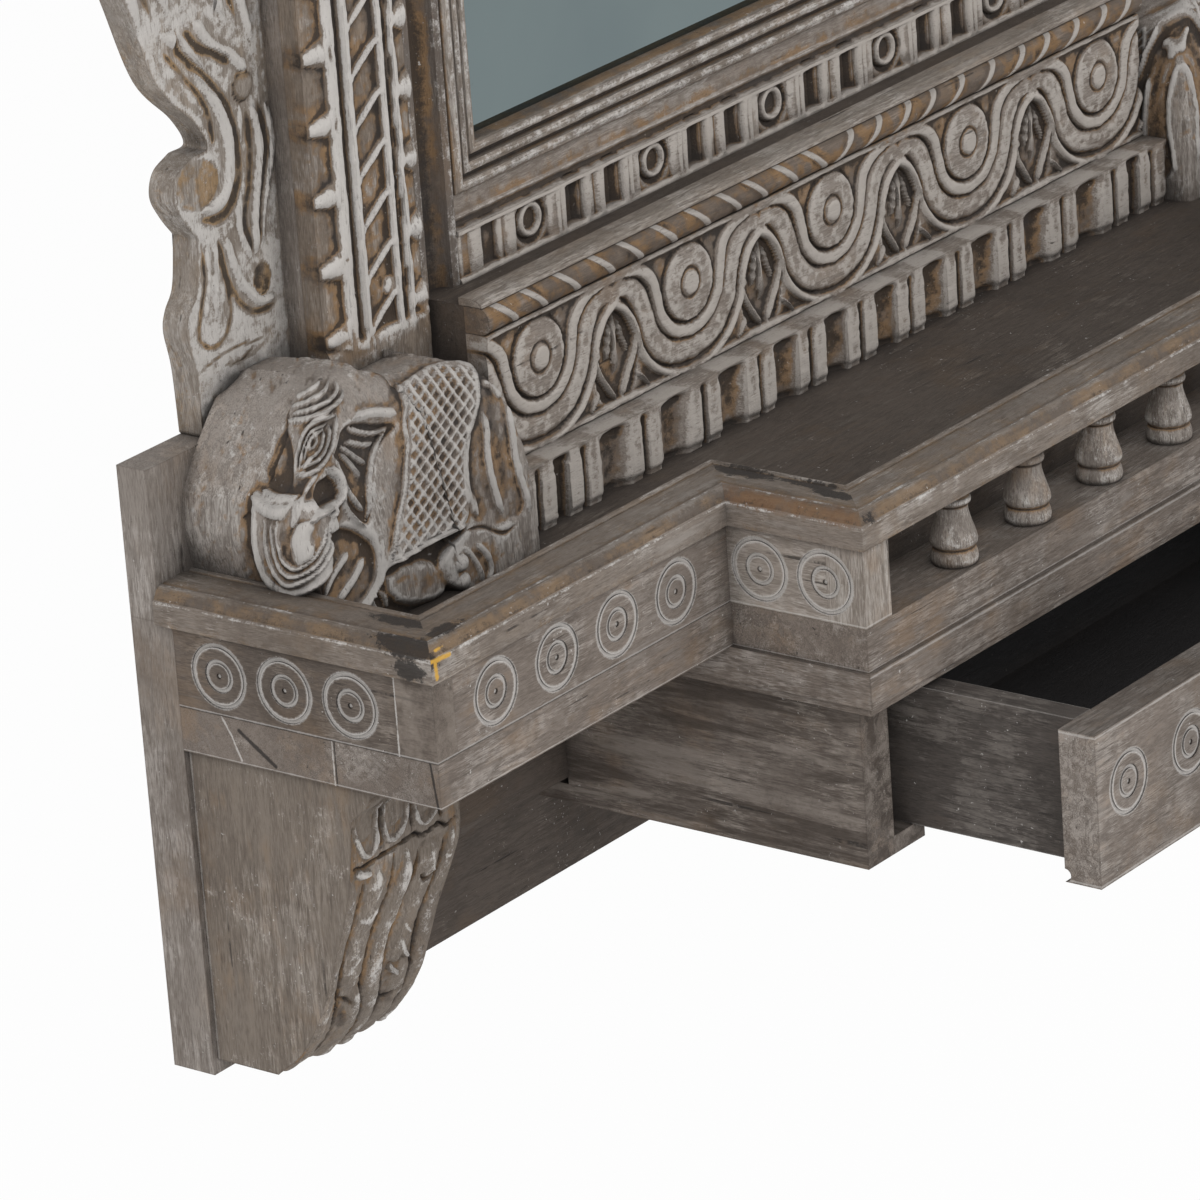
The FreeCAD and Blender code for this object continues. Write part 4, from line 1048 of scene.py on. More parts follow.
def carveRingBand(upside):
    c = ringBandShape

    def carve(work):
        low, high = c["top"] if upside else c["bottom"]
        rise = high - work.v if upside else work.v - low
        flat = easeIn(rise, c["flatRise"] - 0.8, c["flatRise"] + 0.8)
        shaped = np.zeros(work.u.shape)
        for ring in c["rings"]:
            for side in (-1, 1):
                a = (work.u - ring) * side
                for start in c["units"]:
                    hollow = easeIn(a, start + 4.6, start + 6) * easeIn(start + 17.4 - a, 0, 1.4)
                    shaped -= 2.6 * hollow
                    bulge = hump((a - start - 23.7) / 6.2, 0.5)
                    shaped += 1.6 * bulge - 1.2 * hump((a - start - 17.6) / 0.9)
                    shaped += 0.7 * hump((a - start - 2.4) / 2.0)
                shaped += 1.5 * hump((a - 18.5) / 5.4, 0.5)
            away = np.hypot(work.u - ring, rise - c["ringRise"])
            inside = easeIn(13.4 - away, -0.4, 1.2)
            shaped += (-3.0 - shaped) * inside
            shaped += 3.8 * hump((away - 8) / 2.2, 0.5)
        work.height += (shaped - 1.4) * (1 - flat) - 4.0 * flat
        for level in (0.8, c["flatRise"] - 2.0):
            work.height += (1.0 - work.height) * easeIn(1.8 - np.abs(rise - level), 0, 0.9) * (1 - flat)
        work.height += 1.2 * hump((rise - 34) / 1.4)
        work.wear(0.25, 6.0, 51)
        work.height = np.minimum(work.height, 1.0)
    return carve


reedShape = {
    # out from the glass's sight edge and up from the wall
    "profile": [
        (0, 27, -0.3), (0.2, 34.2, -0.5), (1.2, 36.6, 0.1), (3.4, 37.3, 0.35), (5.6, 36.8, 0.1),
        (7.2, 34.2, -0.8), (8.2, 34.2, -0.8), (9.0, 38.0, 0.1), (11.4, 39.2, 0.35), (13.8, 38.4, 0.1),
        (15.0, 36.0, -0.8), (16.0, 36.2, -0.8), (17.0, 39.8, 0.1), (19.2, 41, 0.35), (21.6, 40.2, 0.1),
        (22.8, 38.6, -0.4), (23, 27, -0.2)],
    "half": 256, "low": 223, "high": 843,
}


def makeReeds():
    c = reedShape
    wood = {axis: woodFinish("reedWood" + axis.upper(), axis, {"base": (140, 130, 120)}, 0.55, 0.3, True)
            for axis in "xz"}
    lowLeft, lowRight, highLeft, highRight = (
        (x, 0, z) for z in (c["low"], c["high"]) for x in (-c["half"], c["half"]))
    for name, begin, end, outward, axis, seed, mirror in (
            ("Bottom", lowLeft, lowRight, (0, 0, -1), "x", 61, False),
            ("Top", highLeft, highRight, (0, 0, 1), "x", 62, False),
            ("Left", lowLeft, highLeft, (-1, 0, 0), "z", 63, False),
            ("Right", lowLeft, highLeft, (-1, 0, 0), "z", 63, True)):
        sweep("reed" + name, c["profile"], begin, end, outward, (0, -1, 0), (-1, 1), wood[axis],
              ["reed_" + name.lower()], seed, mirror)


coveShape = {
    "profile": [
        (0, 27, -0.2), (0, 36.6, 0.1), (0.8, 38, 0.3), (4.6, 38, 0.1), (6.0, 37.6, 0.2), (6.6, 35.0, -0.1),
        (8.0, 32.0, -0.5), (11.5, 28.9, -0.8), (16, 28, -0.9), (20.5, 28.9, -0.8), (24.0, 32.0, -0.5),
        (25.4, 35.0, -0.1), (26.0, 37.6, 0.2), (27.4, 38, 0.1), (31.2, 38, 0.3), (32, 36.6, 0.1),
        (32, 27, -0.2)],
    "inner": 279, "low": 152, "high": 914,
}


def makeCoves():
    c = coveShape
    wood = woodFinish("coveWood", "z", {"base": (104, 96, 90), "light": (128, 121, 114)}, 0.3, 0.2, True)
    for side, mirror in sides:
        sweep("coveStrip" + side, c["profile"], (-c["inner"], 0, c["low"]), (-c["inner"], 0, c["high"]),
              (-1, 0, 0), (0, -1, 0), (0, 0), wood, ["cove_strips"], 71, mirror)


pilasterShape = {
    "outer": 392, "width": 81, "low": 27, "high": 866, "depth": 42, "back": 27, "cell": 1.2,
    "studFirst": 155, "studPitch": 37.5, "carvedFrom": 150, "barPitch": 26.8, "button": (-337, 170),
}


def carvePilaster(work):
    c = pilasterShape
    u, z = work.u + c["outer"], work.v
    above = easeIn(z, c["carvedFrom"] - 3, c["carvedFrom"] + 3)

    def bar(low, high, height, soft=0.5):
        middle, half = (low + high) / 2, (high - low) / 2
        return height * hump((u - middle) / half, soft)
    shaped = np.full(u.shape, -3.2)
    shaped += bar(16.6, 25.4, 3.2, 0.25) + bar(30.4, 36.6, 3.8) + bar(57.6, 62.6, 3.8)
    shaped -= bar(25.4, 30.4, 1.6) + bar(62.6, 66.6, 1.6)
    scallop = 1.4 * np.abs(np.sin((z - c["studFirst"]) * pi / c["studPitch"] + 0.3))
    shaped += 3.4 * hump((u - 69.0 - scallop) / 2.4, 0.5)
    field = easeIn(u, 36.6, 38) * easeIn(57.6 - u, 0, 1.4)
    shaped -= 0.6 * field
    work.ground += shaped * above
    work.height += shaped * above
    studs = round((c["high"] - c["studFirst"]) / c["studPitch"]) + 1
    for k in range(studs):
        left = c["studFirst"] + k * c["studPitch"]
        tall = 6.8 + 0.7 * np.sin(k * 1.9)
        half = np.clip(tall * (1 - (20 - u) / 21.5) + 2.4, 0.1, None)
        stud = np.clip(1 - np.abs(z - left) / half, 0, 1) ** 0.55 * easeIn(19.5 - u, 0, 3)
        work.height += 4.0 * (stud * easeIn(u, -0.5, 2.0)) * (left > c["carvedFrom"])
        right = left + 2
        half = np.clip(7.2 * (u - 66) / 14 + 1.5, 0.1, None)
        stud = np.clip(1 - np.abs(z - right) / half, 0, 1) ** 0.55 * easeIn(u, 69.5, 73)
        work.height += 3.8 * stud * (right > c["carvedFrom"])
    bars = round((c["high"] - c["carvedFrom"]) / c["barPitch"]) + 1
    for k in range(bars):
        start = c["carvedFrom"] + 2 + k * c["barPitch"]
        work.ridge([(x - c["outer"], start + up) for x, up in ((37, 0), (47, 6.4), (57.5, 14))], 5.0, 3.2, 0)
    away = np.hypot(work.u - c["button"][0], z - c["button"][1])
    work.height += 2.4 * hump(away / 5.5, 0.5)
    work.wear(0.3, 8.0, 81)
    work.wear(0.22, 2.6, 82)
    work.height = np.minimum(work.height, 0.3)


def makeFrame():
    r, p = ringBandShape, pilasterShape
    for name, upside in (("Bottom", False), ("Top", True)):
        panel("ringBand" + name, (-r["halfWidth"], r["halfWidth"]), r[name.lower()], r["depth"] - 1.0,
              r["back"], r["cell"], carveRingBand(upside), carvedWood, ["ring_band_" + name.lower()], 1.3)
    makeReeds()
    makeCoves()
    wood = woodFinish("pilasterWood", "z", {"base": (134, 122, 110)}, 0.5, 0.45, True)
    for side, mirror in sides:
        panel("pilaster" + side, (-p["outer"], -p["outer"] + p["width"]), (p["low"], p["high"]),
              p["depth"] - 0.3, p["back"], p["cell"], carvePilaster, wood, ["pilaster_" + side.lower()], 1.2,
              mirror=mirror)
    print("frame made")


makeFrame()


# scroll wings

wingShape = {
    "left": -505, "width": 113, "low": 125, "height": 560, "depth": 19, "cell": 1.3,
    # stretches of the sawn edge, as shares of the width and the height
    "edge": (
        ((0.357, 0.0), (0.344, 0.063), (0.312, 0.10), (0.335, 0.118), (0.40, 0.138), (0.437, 0.184)),
        ((0.437, 0.184), (0.357, 0.205), (0.304, 0.227), (0.34, 0.248), (0.455, 0.259)),
        ((0.455, 0.259), (0.562, 0.262), (0.487, 0.289), (0.268, 0.336), (0.103, 0.42)),
        ((0.103, 0.42), (0.0, 0.52), (0.04, 0.62), (0.22, 0.70), (0.42, 0.735)),
        ((0.42, 0.735), (0.30, 0.76), (0.27, 0.80), (0.36, 0.84), (0.52, 0.855)),
        ((0.52, 0.855), (0.66, 0.92), (0.84, 0.97), (1.0, 1.0))),
    "strokes": (  # width, height, and the points
        (8, 2.4, -470, 338, -455, 328, -437, 301, -428, 281, -426, 263, -430, 248, -438, 241, -448, 242, -453,
         246), (6.5, 2.2, -444, 338, -432, 322, -419, 313, -408, 303),
        (4.6, 2.6, -407, 284, -403, 264, -406, 247, -411, 227, -413, 207),
        (4, 1.8, -415, 286, -419, 262, -422, 240, -423, 222, -416, 206),
        (4, 1.8, -396, 282, -394, 262, -398, 244, -404, 228, -408, 210),
        (3, 1.6, -449, 222, -450, 204, -455, 186), (3, 1.6, -443, 222, -444, 204, -447, 184),
        (5, 2.2, -434, 222, -429, 203, -421, 190, -412, 182, -401, 181),
        (8, 2.4, -484, 346, -494, 382, -497, 424, -494, 462, -480, 498, -462, 518),
        (8, 2.4, -462, 346, -474, 382, -478, 420, -475, 456, -462, 488, -444, 510),
        (7.5, 2.4, -440, 350, -452, 384, -458, 418, -456, 448, -444, 476, -424, 502),
        (6.5, 2.2, -420, 330, -432, 366, -438, 412, -436, 444, -424, 470, -404, 492),
        (6, 2.2, -402, 316, -412, 360, -418, 408, -415, 440, -402, 464),
        (7, 2.4, -452, 540, -463, 560, -464, 580, -452, 594, -438, 590),
        (5.6, 2.2, -440, 540, -448, 558, -446, 572, -436, 576),
        (7, 2.4, -448, 602, -430, 622, -410, 640, -397, 668),
        (5.6, 2.2, -434, 600, -418, 612, -402, 630, -396, 650), (5.6, 2.2, -428, 530, -418, 556, -402, 576),
        (5.6, 2.2, -416, 516, -408, 540, -398, 556)),
    "grooves": (  # width, depth, and the points
        (5, 2.6, -459, 338, -457, 325, -440, 308, -426, 290, -420, 270, -420, 252, -427, 239, -438, 233, -454,
         237), (3, 1.6, -470, 330, -455, 312, -444, 298, -438, 284, -437, 270),
        (4.4, 2.4, -452, 336, -443, 324, -431, 317, -420, 309),
        (4, 2.6, -411, 284, -410, 262, -414, 242, -419, 226, -415, 208),
        (3.4, 2, -402, 286, -398, 264, -401, 248, -406, 232, -410, 208),
        (3.4, 2.2, -440, 224, -437, 205, -430, 189, -420, 179, -408, 176, -399, 178),
        (2.6, 2.4, -453, 226, -453, 206, -458, 190, -461, 177, -454, 170, -445, 170, -438, 176, -435, 188,
         -438, 206, -441, 224), (1.2, 0.6, -462, 160, -440, 164, -410, 162),
        (1.6, 0.9, -444, 158, -432, 156, -420, 160),
        (4.4, 2.6, -474, 344, -486, 382, -490, 424, -487, 460, -472, 494, -453, 516),
        (4.4, 2.6, -452, 346, -464, 384, -469, 420, -466, 452, -454, 482, -434, 507),
        (4, 2.4, -430, 342, -443, 376, -449, 414, -447, 446, -434, 474, -414, 498),
        (3.6, 2.2, -411, 326, -422, 364, -428, 410, -426, 442, -413, 468, -398, 482),
        (3.6, 2.2, -446, 540, -456, 558, -456, 576, -446, 584, -437, 583),
        (3.6, 2.2, -441, 602, -424, 618, -406, 636, -396, 660), (3.6, 2.2, -422, 522, -413, 548, -400, 566)),
    "bosses": (((-412, 295), 8.0, 3.0), ((-446, 558), 5, 2.6), ((-404, 505), 6, 2.8)),
    "discs": (((-452, 255), 16.0, 12.5), ((-409, 193), 6.5, 8.5)),  # centre, half width, half height
    "paint": (  # width, level of whitewash, and the points
        (5, 0.35, -456, 330, -440, 303, -430, 282, -427, 262, -432, 247),
        (9, -0.35, -474, 330, -470, 316, -460, 306, -452, 296), (5, -0.5, -455, 300, -442, 286, -436, 270),
        (6, 0.3, -448, 222, -447, 203, -451, 184), (5, -0.5, -440, 210, -437, 192, -444, 178),
        (6, -0.35, -396, 330, -397, 290, -396, 240), (3.5, 0.4, -408, 300, -402, 262, -408, 215),
        (4, 0.35, -428, 206, -420, 191, -404, 184), (2.2, -0.7, -436, 158, -424, 156, -410, 160)),
}


def wingEdge():
    c = wingShape
    points = []
    for stretch in c["edge"]:
        run = smoothPath([(c["left"] + a * c["width"], c["low"] + b * c["height"]) for a, b in stretch], 8)
        points += [tuple(p) for p in run[:-1]]
    inner = c["left"] + c["width"]
    top = c["low"] + c["height"]
    footStart = c["edge"][0][0][0]
    points += [(inner, top - i * c["height"] / 40) for i in range(41)]
    points += [(inner - (i + 1) * (1 - footStart) * c["width"] / 9, c["low"]) for i in range(8)]
    return points


def carveWing(work):
    c = wingShape
    work.shiftGround(-1.6)
    for points, width, height in strokes(c["strokes"]):
        work.ridge(points, width * 1.1, height * 1.15, 0.08)
    for points, width, depth in strokes(c["grooves"]):
        work.groove(points, width * 1.15, depth * 1.5, 0.15)
        work.paint(points, width * 1.6, -1.15, 0.1)
    for (x, z), wide, tall in c["discs"]:
        away = np.hypot((work.u - x) / wide, (work.v - z) / tall)
        work.height += (-1.6 - work.height) * easeIn(1.0 - away, 0, 0.1)
        work.height -= 2.4 * hump((away - 1) / 0.12)
        work.painted -= (0.75 if wide > 10 else 1.1) * easeIn(1.08 - away, 0, 0.08)
    for centre, radius, height in c["bosses"]:
        work.boss(centre, radius, height, 0.7)
        work.painted -= 1.2 * (np.hypot(work.u - centre[0], work.v - centre[1]) < radius)
    for points, width, level in strokes(c["paint"]):
        work.paint(points, width, level)
    work.wear(0.34, 9.0, 91)
    work.wear(0.24, 2.8, 92)
    work.height = np.minimum(work.height, 1.5)


def makeWings():
    c = wingShape
    edge = wingEdge()
    shades = {"base": (144, 136, 128), "light": (170, 165, 160), "wash": (194, 190, 186),
              "dark": (92, 79, 66), "ochre": (142, 114, 78)}
    wood = woodFinish("wingWood", "z", shades, 0.5, 0.25, True, smudges=0.4)
    for side, mirror in sides:
        plate("wing" + side, edge, c["depth"] - 1.5, 0, c["cell"], carveWing, wood,
              ["wing_" + side.lower()], 1.6, 0.5, mirror)
    print("wings made")


makeWings()


# brackets

bracketShape = {
    "outer": -510.5, "width": 90, "back": 27, "reach": 119, "top": -24, "height": 179, "cell": 1.15,
    # stretches of the front edge from the top down, as shares of the reach and the height
    "edge": (((1.0, 0.0), (0.96, 0.06), (0.87, 0.112)),
             ((0.87, 0.112), (0.82, 0.352), (0.715, 0.56), (0.615, 0.735), (0.49, 0.875), (0.34, 0.965)),
             ((0.34, 0.965), (0.17, 0.965), (0.0, 0.965))),
    # how far across the carving reaches at places along the edge
    "span": ((0, 88), (48, 88), (60, 90), (70, 90), (80, 88), (95, 86), (110, 84), (135, 84), (150, 86),
             (250, 86)),
    # points are across from the outer side and down along the edge
    "ridges": (  # width, height, and the points
        (18, 1.4, 9, 8, 10, 24, 12, 42), (18, 1.4, 36, 10, 36, 26, 37, 42), (17, 1.4, 62, 10, 62, 28, 62, 44),
        (15, 1.6, 83, 12, 84, 30, 84, 48),
        (3.4, 2.4, 1, 12, 3, 28, 8, 42, 13, 50.5, 19, 51.5, 22, 46, 21, 32, 19, 14),
        (3.2, 2.4, 26, 14, 26.5, 30, 28.5, 42, 32, 48.5, 38, 49.5, 43, 46, 46, 38, 46, 14),
        (3.2, 2.4, 51, 14, 52, 32, 54, 42, 57, 48, 62, 51, 67, 49, 72, 42, 73, 14),
        (15, 2.9, 3, 60, 2, 90, 1, 120, 4, 150, 8, 175, 9, 204, 9, 232),
        (19, 2.7, 25, 64, 23, 84, 20, 100, 19, 118, 22, 136),
        (17, 2.5, 29, 140, 32, 154, 36, 176, 36, 204, 36, 232),
        (15, 3.1, 48, 61, 49, 74, 44, 90, 40, 106, 39, 126, 43, 146, 50, 168, 53, 200, 53, 232),
        (21, 2.7, 67, 62, 66, 80, 61, 100, 58, 120, 58, 136),
        (17, 2.4, 64, 136, 68, 150, 70, 172, 70, 200, 70, 232),
        (14, 2.8, 86, 62, 85, 74, 81, 88, 78, 110, 79, 134, 82, 156, 85, 190, 85, 232),
        (3.5, 3.2, 66, 68, 70, 76, 72, 84), (3, 3.2, 56, 108, 60, 113, 65, 119),
        (4, 3.4, 57, 120, 62, 128, 68, 136), (3.4, 3.2, 52, 134, 57, 140, 64, 146),
        (4, 3.1, 14, 88, 20, 92, 28, 88), (4.5, 3.1, 13, 116, 18, 120, 24, 113),
        (5, 3.3, 6, 57, 12, 61, 18, 62)),
    "cracks": (  # width, depth, and the points
        (2.2, 3.2, 2, 54, 14, 57, 30, 56, 40, 55.5, 54, 54.5, 62, 58, 74, 56, 81, 60, 89, 57),
        (2.6, 2.6, 15, 62, 13, 75, 10, 90, 9, 110, 11, 130, 16, 150, 21, 170, 22, 200, 22, 232),
        (2.6, 2.6, 38, 58, 38, 74, 34, 88, 30, 104, 29, 122, 33, 144, 43, 170, 45, 200, 45, 232),
        (2.8, 2.8, 57, 60, 57, 75, 51, 90, 47, 104, 46, 120, 48, 140, 59, 168, 61, 200, 61, 232),
        (2.6, 3, 61, 80, 65, 85, 74, 83),
        (2.6, 2.8, 79, 62, 79, 76, 74, 88, 70, 108, 71, 124, 74, 146, 77, 180, 78, 232),
        (2.4, 2.8, 24, 26, 25, 40, 28, 52), (2.4, 2.8, 49, 26, 50, 40, 53, 52),
        (2.4, 2.6, 74, 24, 75, 40, 76, 54), (3.4, 2.4, 12, 139, 20, 143, 30, 151),
        (3, 2.4, 50, 156, 60, 162, 74, 158)),
    "paint": (  # width, level of whitewash, and the points
        (3.4, 0.5, 1, 24, 5, 38, 11, 48, 17, 51, 21, 46, 20, 34),
        (3, 0.35, 28, 28, 29, 38, 33, 47, 38, 48, 43, 45, 45, 32), (3, 0.4, 54, 40, 57, 48, 62, 51, 68, 48),
        (5, 0.5, 5, 58, 12, 62, 18, 61), (6, 0.4, 24, 60, 25, 68, 26, 74), (6, 0.35, 44, 60, 52, 62),
        (4, 0.35, 33, 57, 38, 60), (2.2, 0.4, 66, 68, 69, 73, 72, 78), (5, 0.3, 84, 62, 86, 69),
        (4, 0.35, 16, 88, 22, 92, 28, 86), (6, 0.4, 14, 112, 19, 116, 16, 124),
        (2.2, 0.6, 55, 107, 60, 114, 66, 119), (3, 0.7, 57, 120, 62, 129, 67, 135),
        (2.2, 0.6, 52, 134, 58, 140, 64, 146), (2, 0.7, 80, 77, 86, 79), (2, 0.5, 80, 143, 86, 147),
        (10, -0.5, 12, 142, 20, 152, 30, 168), (9, -0.45, 50, 156, 64, 164, 78, 172),
        (60, -0.25, 10, 200, 10, 232), (60, -0.25, 60, 200, 60, 232)),
}


def bracketEdge():
    c = bracketShape
    runs = [smoothPath(stretch, 24) for stretch in c["edge"]]
    run = np.vstack((runs[0][:-1], runs[1][:-1], runs[2]))
    line = np.stack((c["back"] + run[:, 0] * c["reach"], c["top"] - run[:, 1] * c["height"]), -1)
    length = np.concatenate(([0], np.cumsum(np.hypot(*np.diff(line, axis=0).T))))
    return line, length


def carveBracket(work):
    c = bracketShape
    for points, width, height in strokes(c["ridges"]):
        work.ridge(points, width, height, 0.1)
    for points, width, depth in strokes(c["cracks"]):
        work.groove(points, width, depth, 0.1)
    for points, width, level in strokes(c["paint"]):
        work.paint(points, width, level * (0.7 if level > 0 else 1))
    work.wear(0.45, 9.0, 101)
    work.wear(0.35, 3.0, 102)


def makeBrackets():
    c = bracketShape
    line, length = bracketEdge()
    total = length[-1]
    spanAt, span = np.array(c["span"]).T
    wood = woodFinish("bracketWood", "z", {"base": (126, 116, 106), "light": (148, 139, 130)}, 0.4, 0.3,
                      True, lineMarks([("y", -27.9, 0.6)]), smudges=0.5)

    def front(s, t):
        along = (1 - t) * total
        depth, z = np.interp(along, length, line[:, 0]), np.interp(along, length, line[:, 1])
        across = s * np.interp(along, spanAt, span)
        work = Carving(across, along)
        work.shiftGround(-2.4)
        carveBracket(work)
        # the fingers' ends hang below the foot
        work.height = np.minimum(work.height, 0.6) + 4.0 * easeIn(along, 165, 215) * easeIn(across, 8, 30)
        slope = np.stack((np.gradient(line[:, 0], length), np.gradient(line[:, 1], length)), -1)
        sx, sz = np.interp(along, length, slope[:, 0]), np.interp(along, length, slope[:, 1])
        fade = easeIn(s, 0, 0.03) * easeIn(1 - s, 0, 0.03)
        lift = work.height * fade * easeIn(t, 0, 0.03) - 0.6 * (1 - fade)
        outDepth, outZ = depth - sz * lift, z + sx * lift
        outDepth = np.maximum(outDepth, c["back"])
        outZ = np.minimum(outZ, c["top"])
        tones = crestTone(work.height * fade, 3, 3.6, (work.painted - 0.08) * fade) * fade
        return c["outer"] + across, outDepth, outZ, tones
    for side, mirror in sides:
        gridPiece("bracket" + side, round(c["width"] / c["cell"]), round(total / c["cell"]), front,
                  lambda x, d, z: (x, c["back"], z), wood, ["bracket_" + side.lower()], 40, mirror)
    print("brackets made")


makeBrackets()


# head of the frame

headShape = {
    "frameHalf": 392, "inner": 311, "capitalLow": 866, "capitalHigh": 914, "spread": 8, "depthLow": 42,
    "depthHigh": 52, "friezeHalf": 400, "friezeTop": 976, "friezeDepth": 54, "unitPitch": 78,
    "eaveHalf": 450, "eaveDepth": 124, "eaveLow": 946, "eaveThick": 14, "ribPitch": 18, "frameTop": 990,
    "crestHalf": 320, "crestHeight": 150, "crestDepth": 22,
    "crestBosses": ((0, 40), (48, 58), (96, 46), (160, 50), (222, 40)),
    "scaleRise": 14, "scalePitch": 14.5,
    # half of the crest's sawn edge, as shares of its half width and height
    "crestEdge": (((1.0, 0.0), (1.0, 0.16), (0.90, 0.26)),
                  ((0.90, 0.26), (0.80, 0.24), (0.70, 0.34), (0.62, 0.50)),
                  ((0.62, 0.50), (0.48, 0.46), (0.34, 0.56), (0.26, 0.72)),
                  ((0.26, 0.72), (0.14, 0.74), (0.05, 0.84), (0.0, 1.0))),
    "crestStrokes": (  # width, height, and the points, across and up, of half the leaf scrolls
        (9, 3.4, 0, 135, 0, 90, 0, 50), (6, 3.2, 0, 46, 14, 60, 18, 82, 8, 100),
        (6, 3.2, 0, 30, 26, 40, 36, 62, 30, 84, 16, 96),
        (6, 3.2, 10, 22, 44, 26, 64, 44, 60, 64, 46, 68, 42, 56),
        (6, 3, 60, 20, 92, 24, 110, 40, 104, 56, 92, 54),
        (6, 3, 100, 18, 140, 20, 168, 34, 172, 52, 158, 58, 150, 48),
        (6, 3, 160, 16, 200, 18, 226, 28, 236, 42, 226, 50, 216, 42),
        (6, 3, 224, 14, 262, 14, 288, 22, 298, 28), (5, 2.8, 70, 74, 110, 66, 146, 70, 176, 64)),
}


def carveCapital(work):
    c = headShape
    for i in range(3):
        low = c["capitalLow"] + 4 + i * c["scaleRise"]
        for k in range(6):
            middle = -c["frameHalf"] - 2 + (k + 0.5 + 0.5 * (i % 2)) * c["scalePitch"]
            work.ridge(((middle - 6, low + 12), (middle - 5, low + 3), (middle, low), (middle + 5, low + 3),
                        (middle + 6, low + 12)), 3.2, 2.2, 0)
            work.ridge(((middle, low + 4), (middle, low + 11)), 3.6, 1.8, 0.3)
    work.wear(0.3, 7.0, 111)


def makeCapitals():
    c = headShape

    def front(s, t):
        z = c["capitalLow"] + t * (c["capitalHigh"] - c["capitalLow"])
        u = -c["frameHalf"] - c["spread"] * t + s * (c["frameHalf"] + c["spread"] * t - c["inner"])
        work = Carving(u, z, -2.4)
        carveCapital(work)
        depth = c["depthLow"] + (c["depthHigh"] - c["depthLow"]) * t
        return u, depth + np.minimum(work.height, 0), z, crestTone(work.height, 3, 1.1)
    for side, mirror in sides:
        gridPiece("capital" + side, 74, 40, front, lambda x, d, z: (x, faceDepth, z), carvedWood,
                  ["capitals"], mirror=mirror)


def carveEntablature(work):
    c = headShape
    low, high = c["capitalHigh"], c["friezeTop"]
    middle = (low + high) / 2 - 2
    work.shiftGround(-3.4)
    for k in range(-5, 6):
        x, turn = k * c["unitPitch"], 1 if k % 2 else -1
        work.ridge([(x - 39, middle - turn * 14), (x - 22, middle - turn * 4), (x, middle + turn * 14),
                    (x + 22, middle + turn * 4), (x + 39, middle + turn * 14)], 5.5, 3.4, 0)
        work.ring((x, middle - turn * 4), 11, 4.6, 3.2)
        work.boss((x, middle - turn * 4), 4.8, 3.4)
        for reach in (-1, 1):
            work.ridge(((x + reach * 16, middle - turn * 14), (x + reach * 26, middle - turn * 18),
                        (x + reach * 34, middle - turn * 8)), 4.6, 3.0, 0.2)
    for edge in (low + 2, low + 6.5, high - 12, high - 3):
        work.ridge(((-c["friezeHalf"] - 9, edge), (c["friezeHalf"] + 9, edge)), 3.4, 3.6, 0)
    work.wear(0.3, 8.0, 121)
    work.height = np.minimum(work.height, 0)


def makeEave():
    c = headShape
    wood = woodFinish("eaveWood", "y", {"base": (132, 120, 108)}, 0.5, 0.4, True)

    def front(s, t):
        # up the front lip, then up the slope to the wall, with ribs that run down the slope
        x = (2 * s - 1) * c["eaveHalf"]
        lip = c["eaveThick"]
        slope = np.hypot(c["eaveDepth"] - faceDepth, c["frameTop"] - c["eaveLow"] - lip)
        run = t * (lip + slope)
        onSlope = np.clip((run - lip) / slope, 0, 1)
        depth = c["eaveDepth"] - onSlope * (c["eaveDepth"] - faceDepth)
        z = c["eaveLow"] + np.minimum(run, lip) + onSlope * (c["frameTop"] - c["eaveLow"] - lip)
        ribs = np.abs(np.sin(x * pi / c["ribPitch"])) ** 0.6
        lift = -2.2 * (1 - ribs) * easeIn(run, lip + 1, lip + 5) * easeIn(1 - t, 0, 0.03)
        between = np.abs(np.sin(x * pi / c["ribPitch"] + pi / 2)) ** 0.7
        scallop = -2.0 * (1 - between) * easeIn(lip - run, 1, 4)
        lift = lift + softNoise(x, run, 9, 131) * 0.25
        return x, depth + scallop, np.minimum(z + lift, c["frameTop"]), crestTone(lift + scallop, 4, 0.9)

    gridPiece("eaveBoard", 700, 84, front,
              lambda x, d, z: (x, faceDepth, max(c["friezeTop"], z - c["eaveThick"])), wood, ["eave_board"])


def crestEdge():
    c = headShape
    half = []
    for stretch in c["crestEdge"]:
        run = smoothPath([(a * c["crestHalf"], c["frameTop"] + b * c["crestHeight"]) for a, b in stretch], 8)
        half += [tuple(p) for p in run[:-1]]
    half.append((0, c["frameTop"] + c["crestHeight"]))
    left = [(-x, z) for x, z in half]
    foot = [(c["crestHalf"] - i * c["crestHalf"] / 20, c["frameTop"]) for i in range(1, 40)]
    return left + half[-2::-1] + foot


def carveCrest(work):
    c = headShape
    work.shiftGround(-2.6)
    for points, width, height in strokes(c["crestStrokes"]):
        for side in (-1, 1):
            work.ridge([(side * a, c["frameTop"] + b) for a, b in points], width, height, 0.1)
    for x, z in c["crestBosses"]:
        for side in (-1, 1):
            work.boss((side * x, c["frameTop"] + z), 6.5, 3.4)
    work.ridge(((-c["crestHalf"] - 9, c["frameTop"] + 5), (c["crestHalf"] + 9, c["frameTop"] + 5)), 7, 3.4, 0)
    work.wear(0.3, 8.0, 141)
    work.height = np.minimum(work.height, 1.2)


def makeHead():
    c = headShape
    makeCapitals()
    panel("entablature", (-c["friezeHalf"], c["friezeHalf"]), (c["capitalHigh"], c["friezeTop"]),
          c["friezeDepth"], faceDepth, 1.2, carveEntablature, carvedWood, ["entablature"], 1.2)
    makeEave()
    plate("crestBoard", crestEdge(), c["crestDepth"] - 1.2, 0, 1.5, carveCrest, carvedWood,
          ["crest_board"], 1.2)
    print("head made")


makeHead()


# plain boards, drawer, glass and fittings

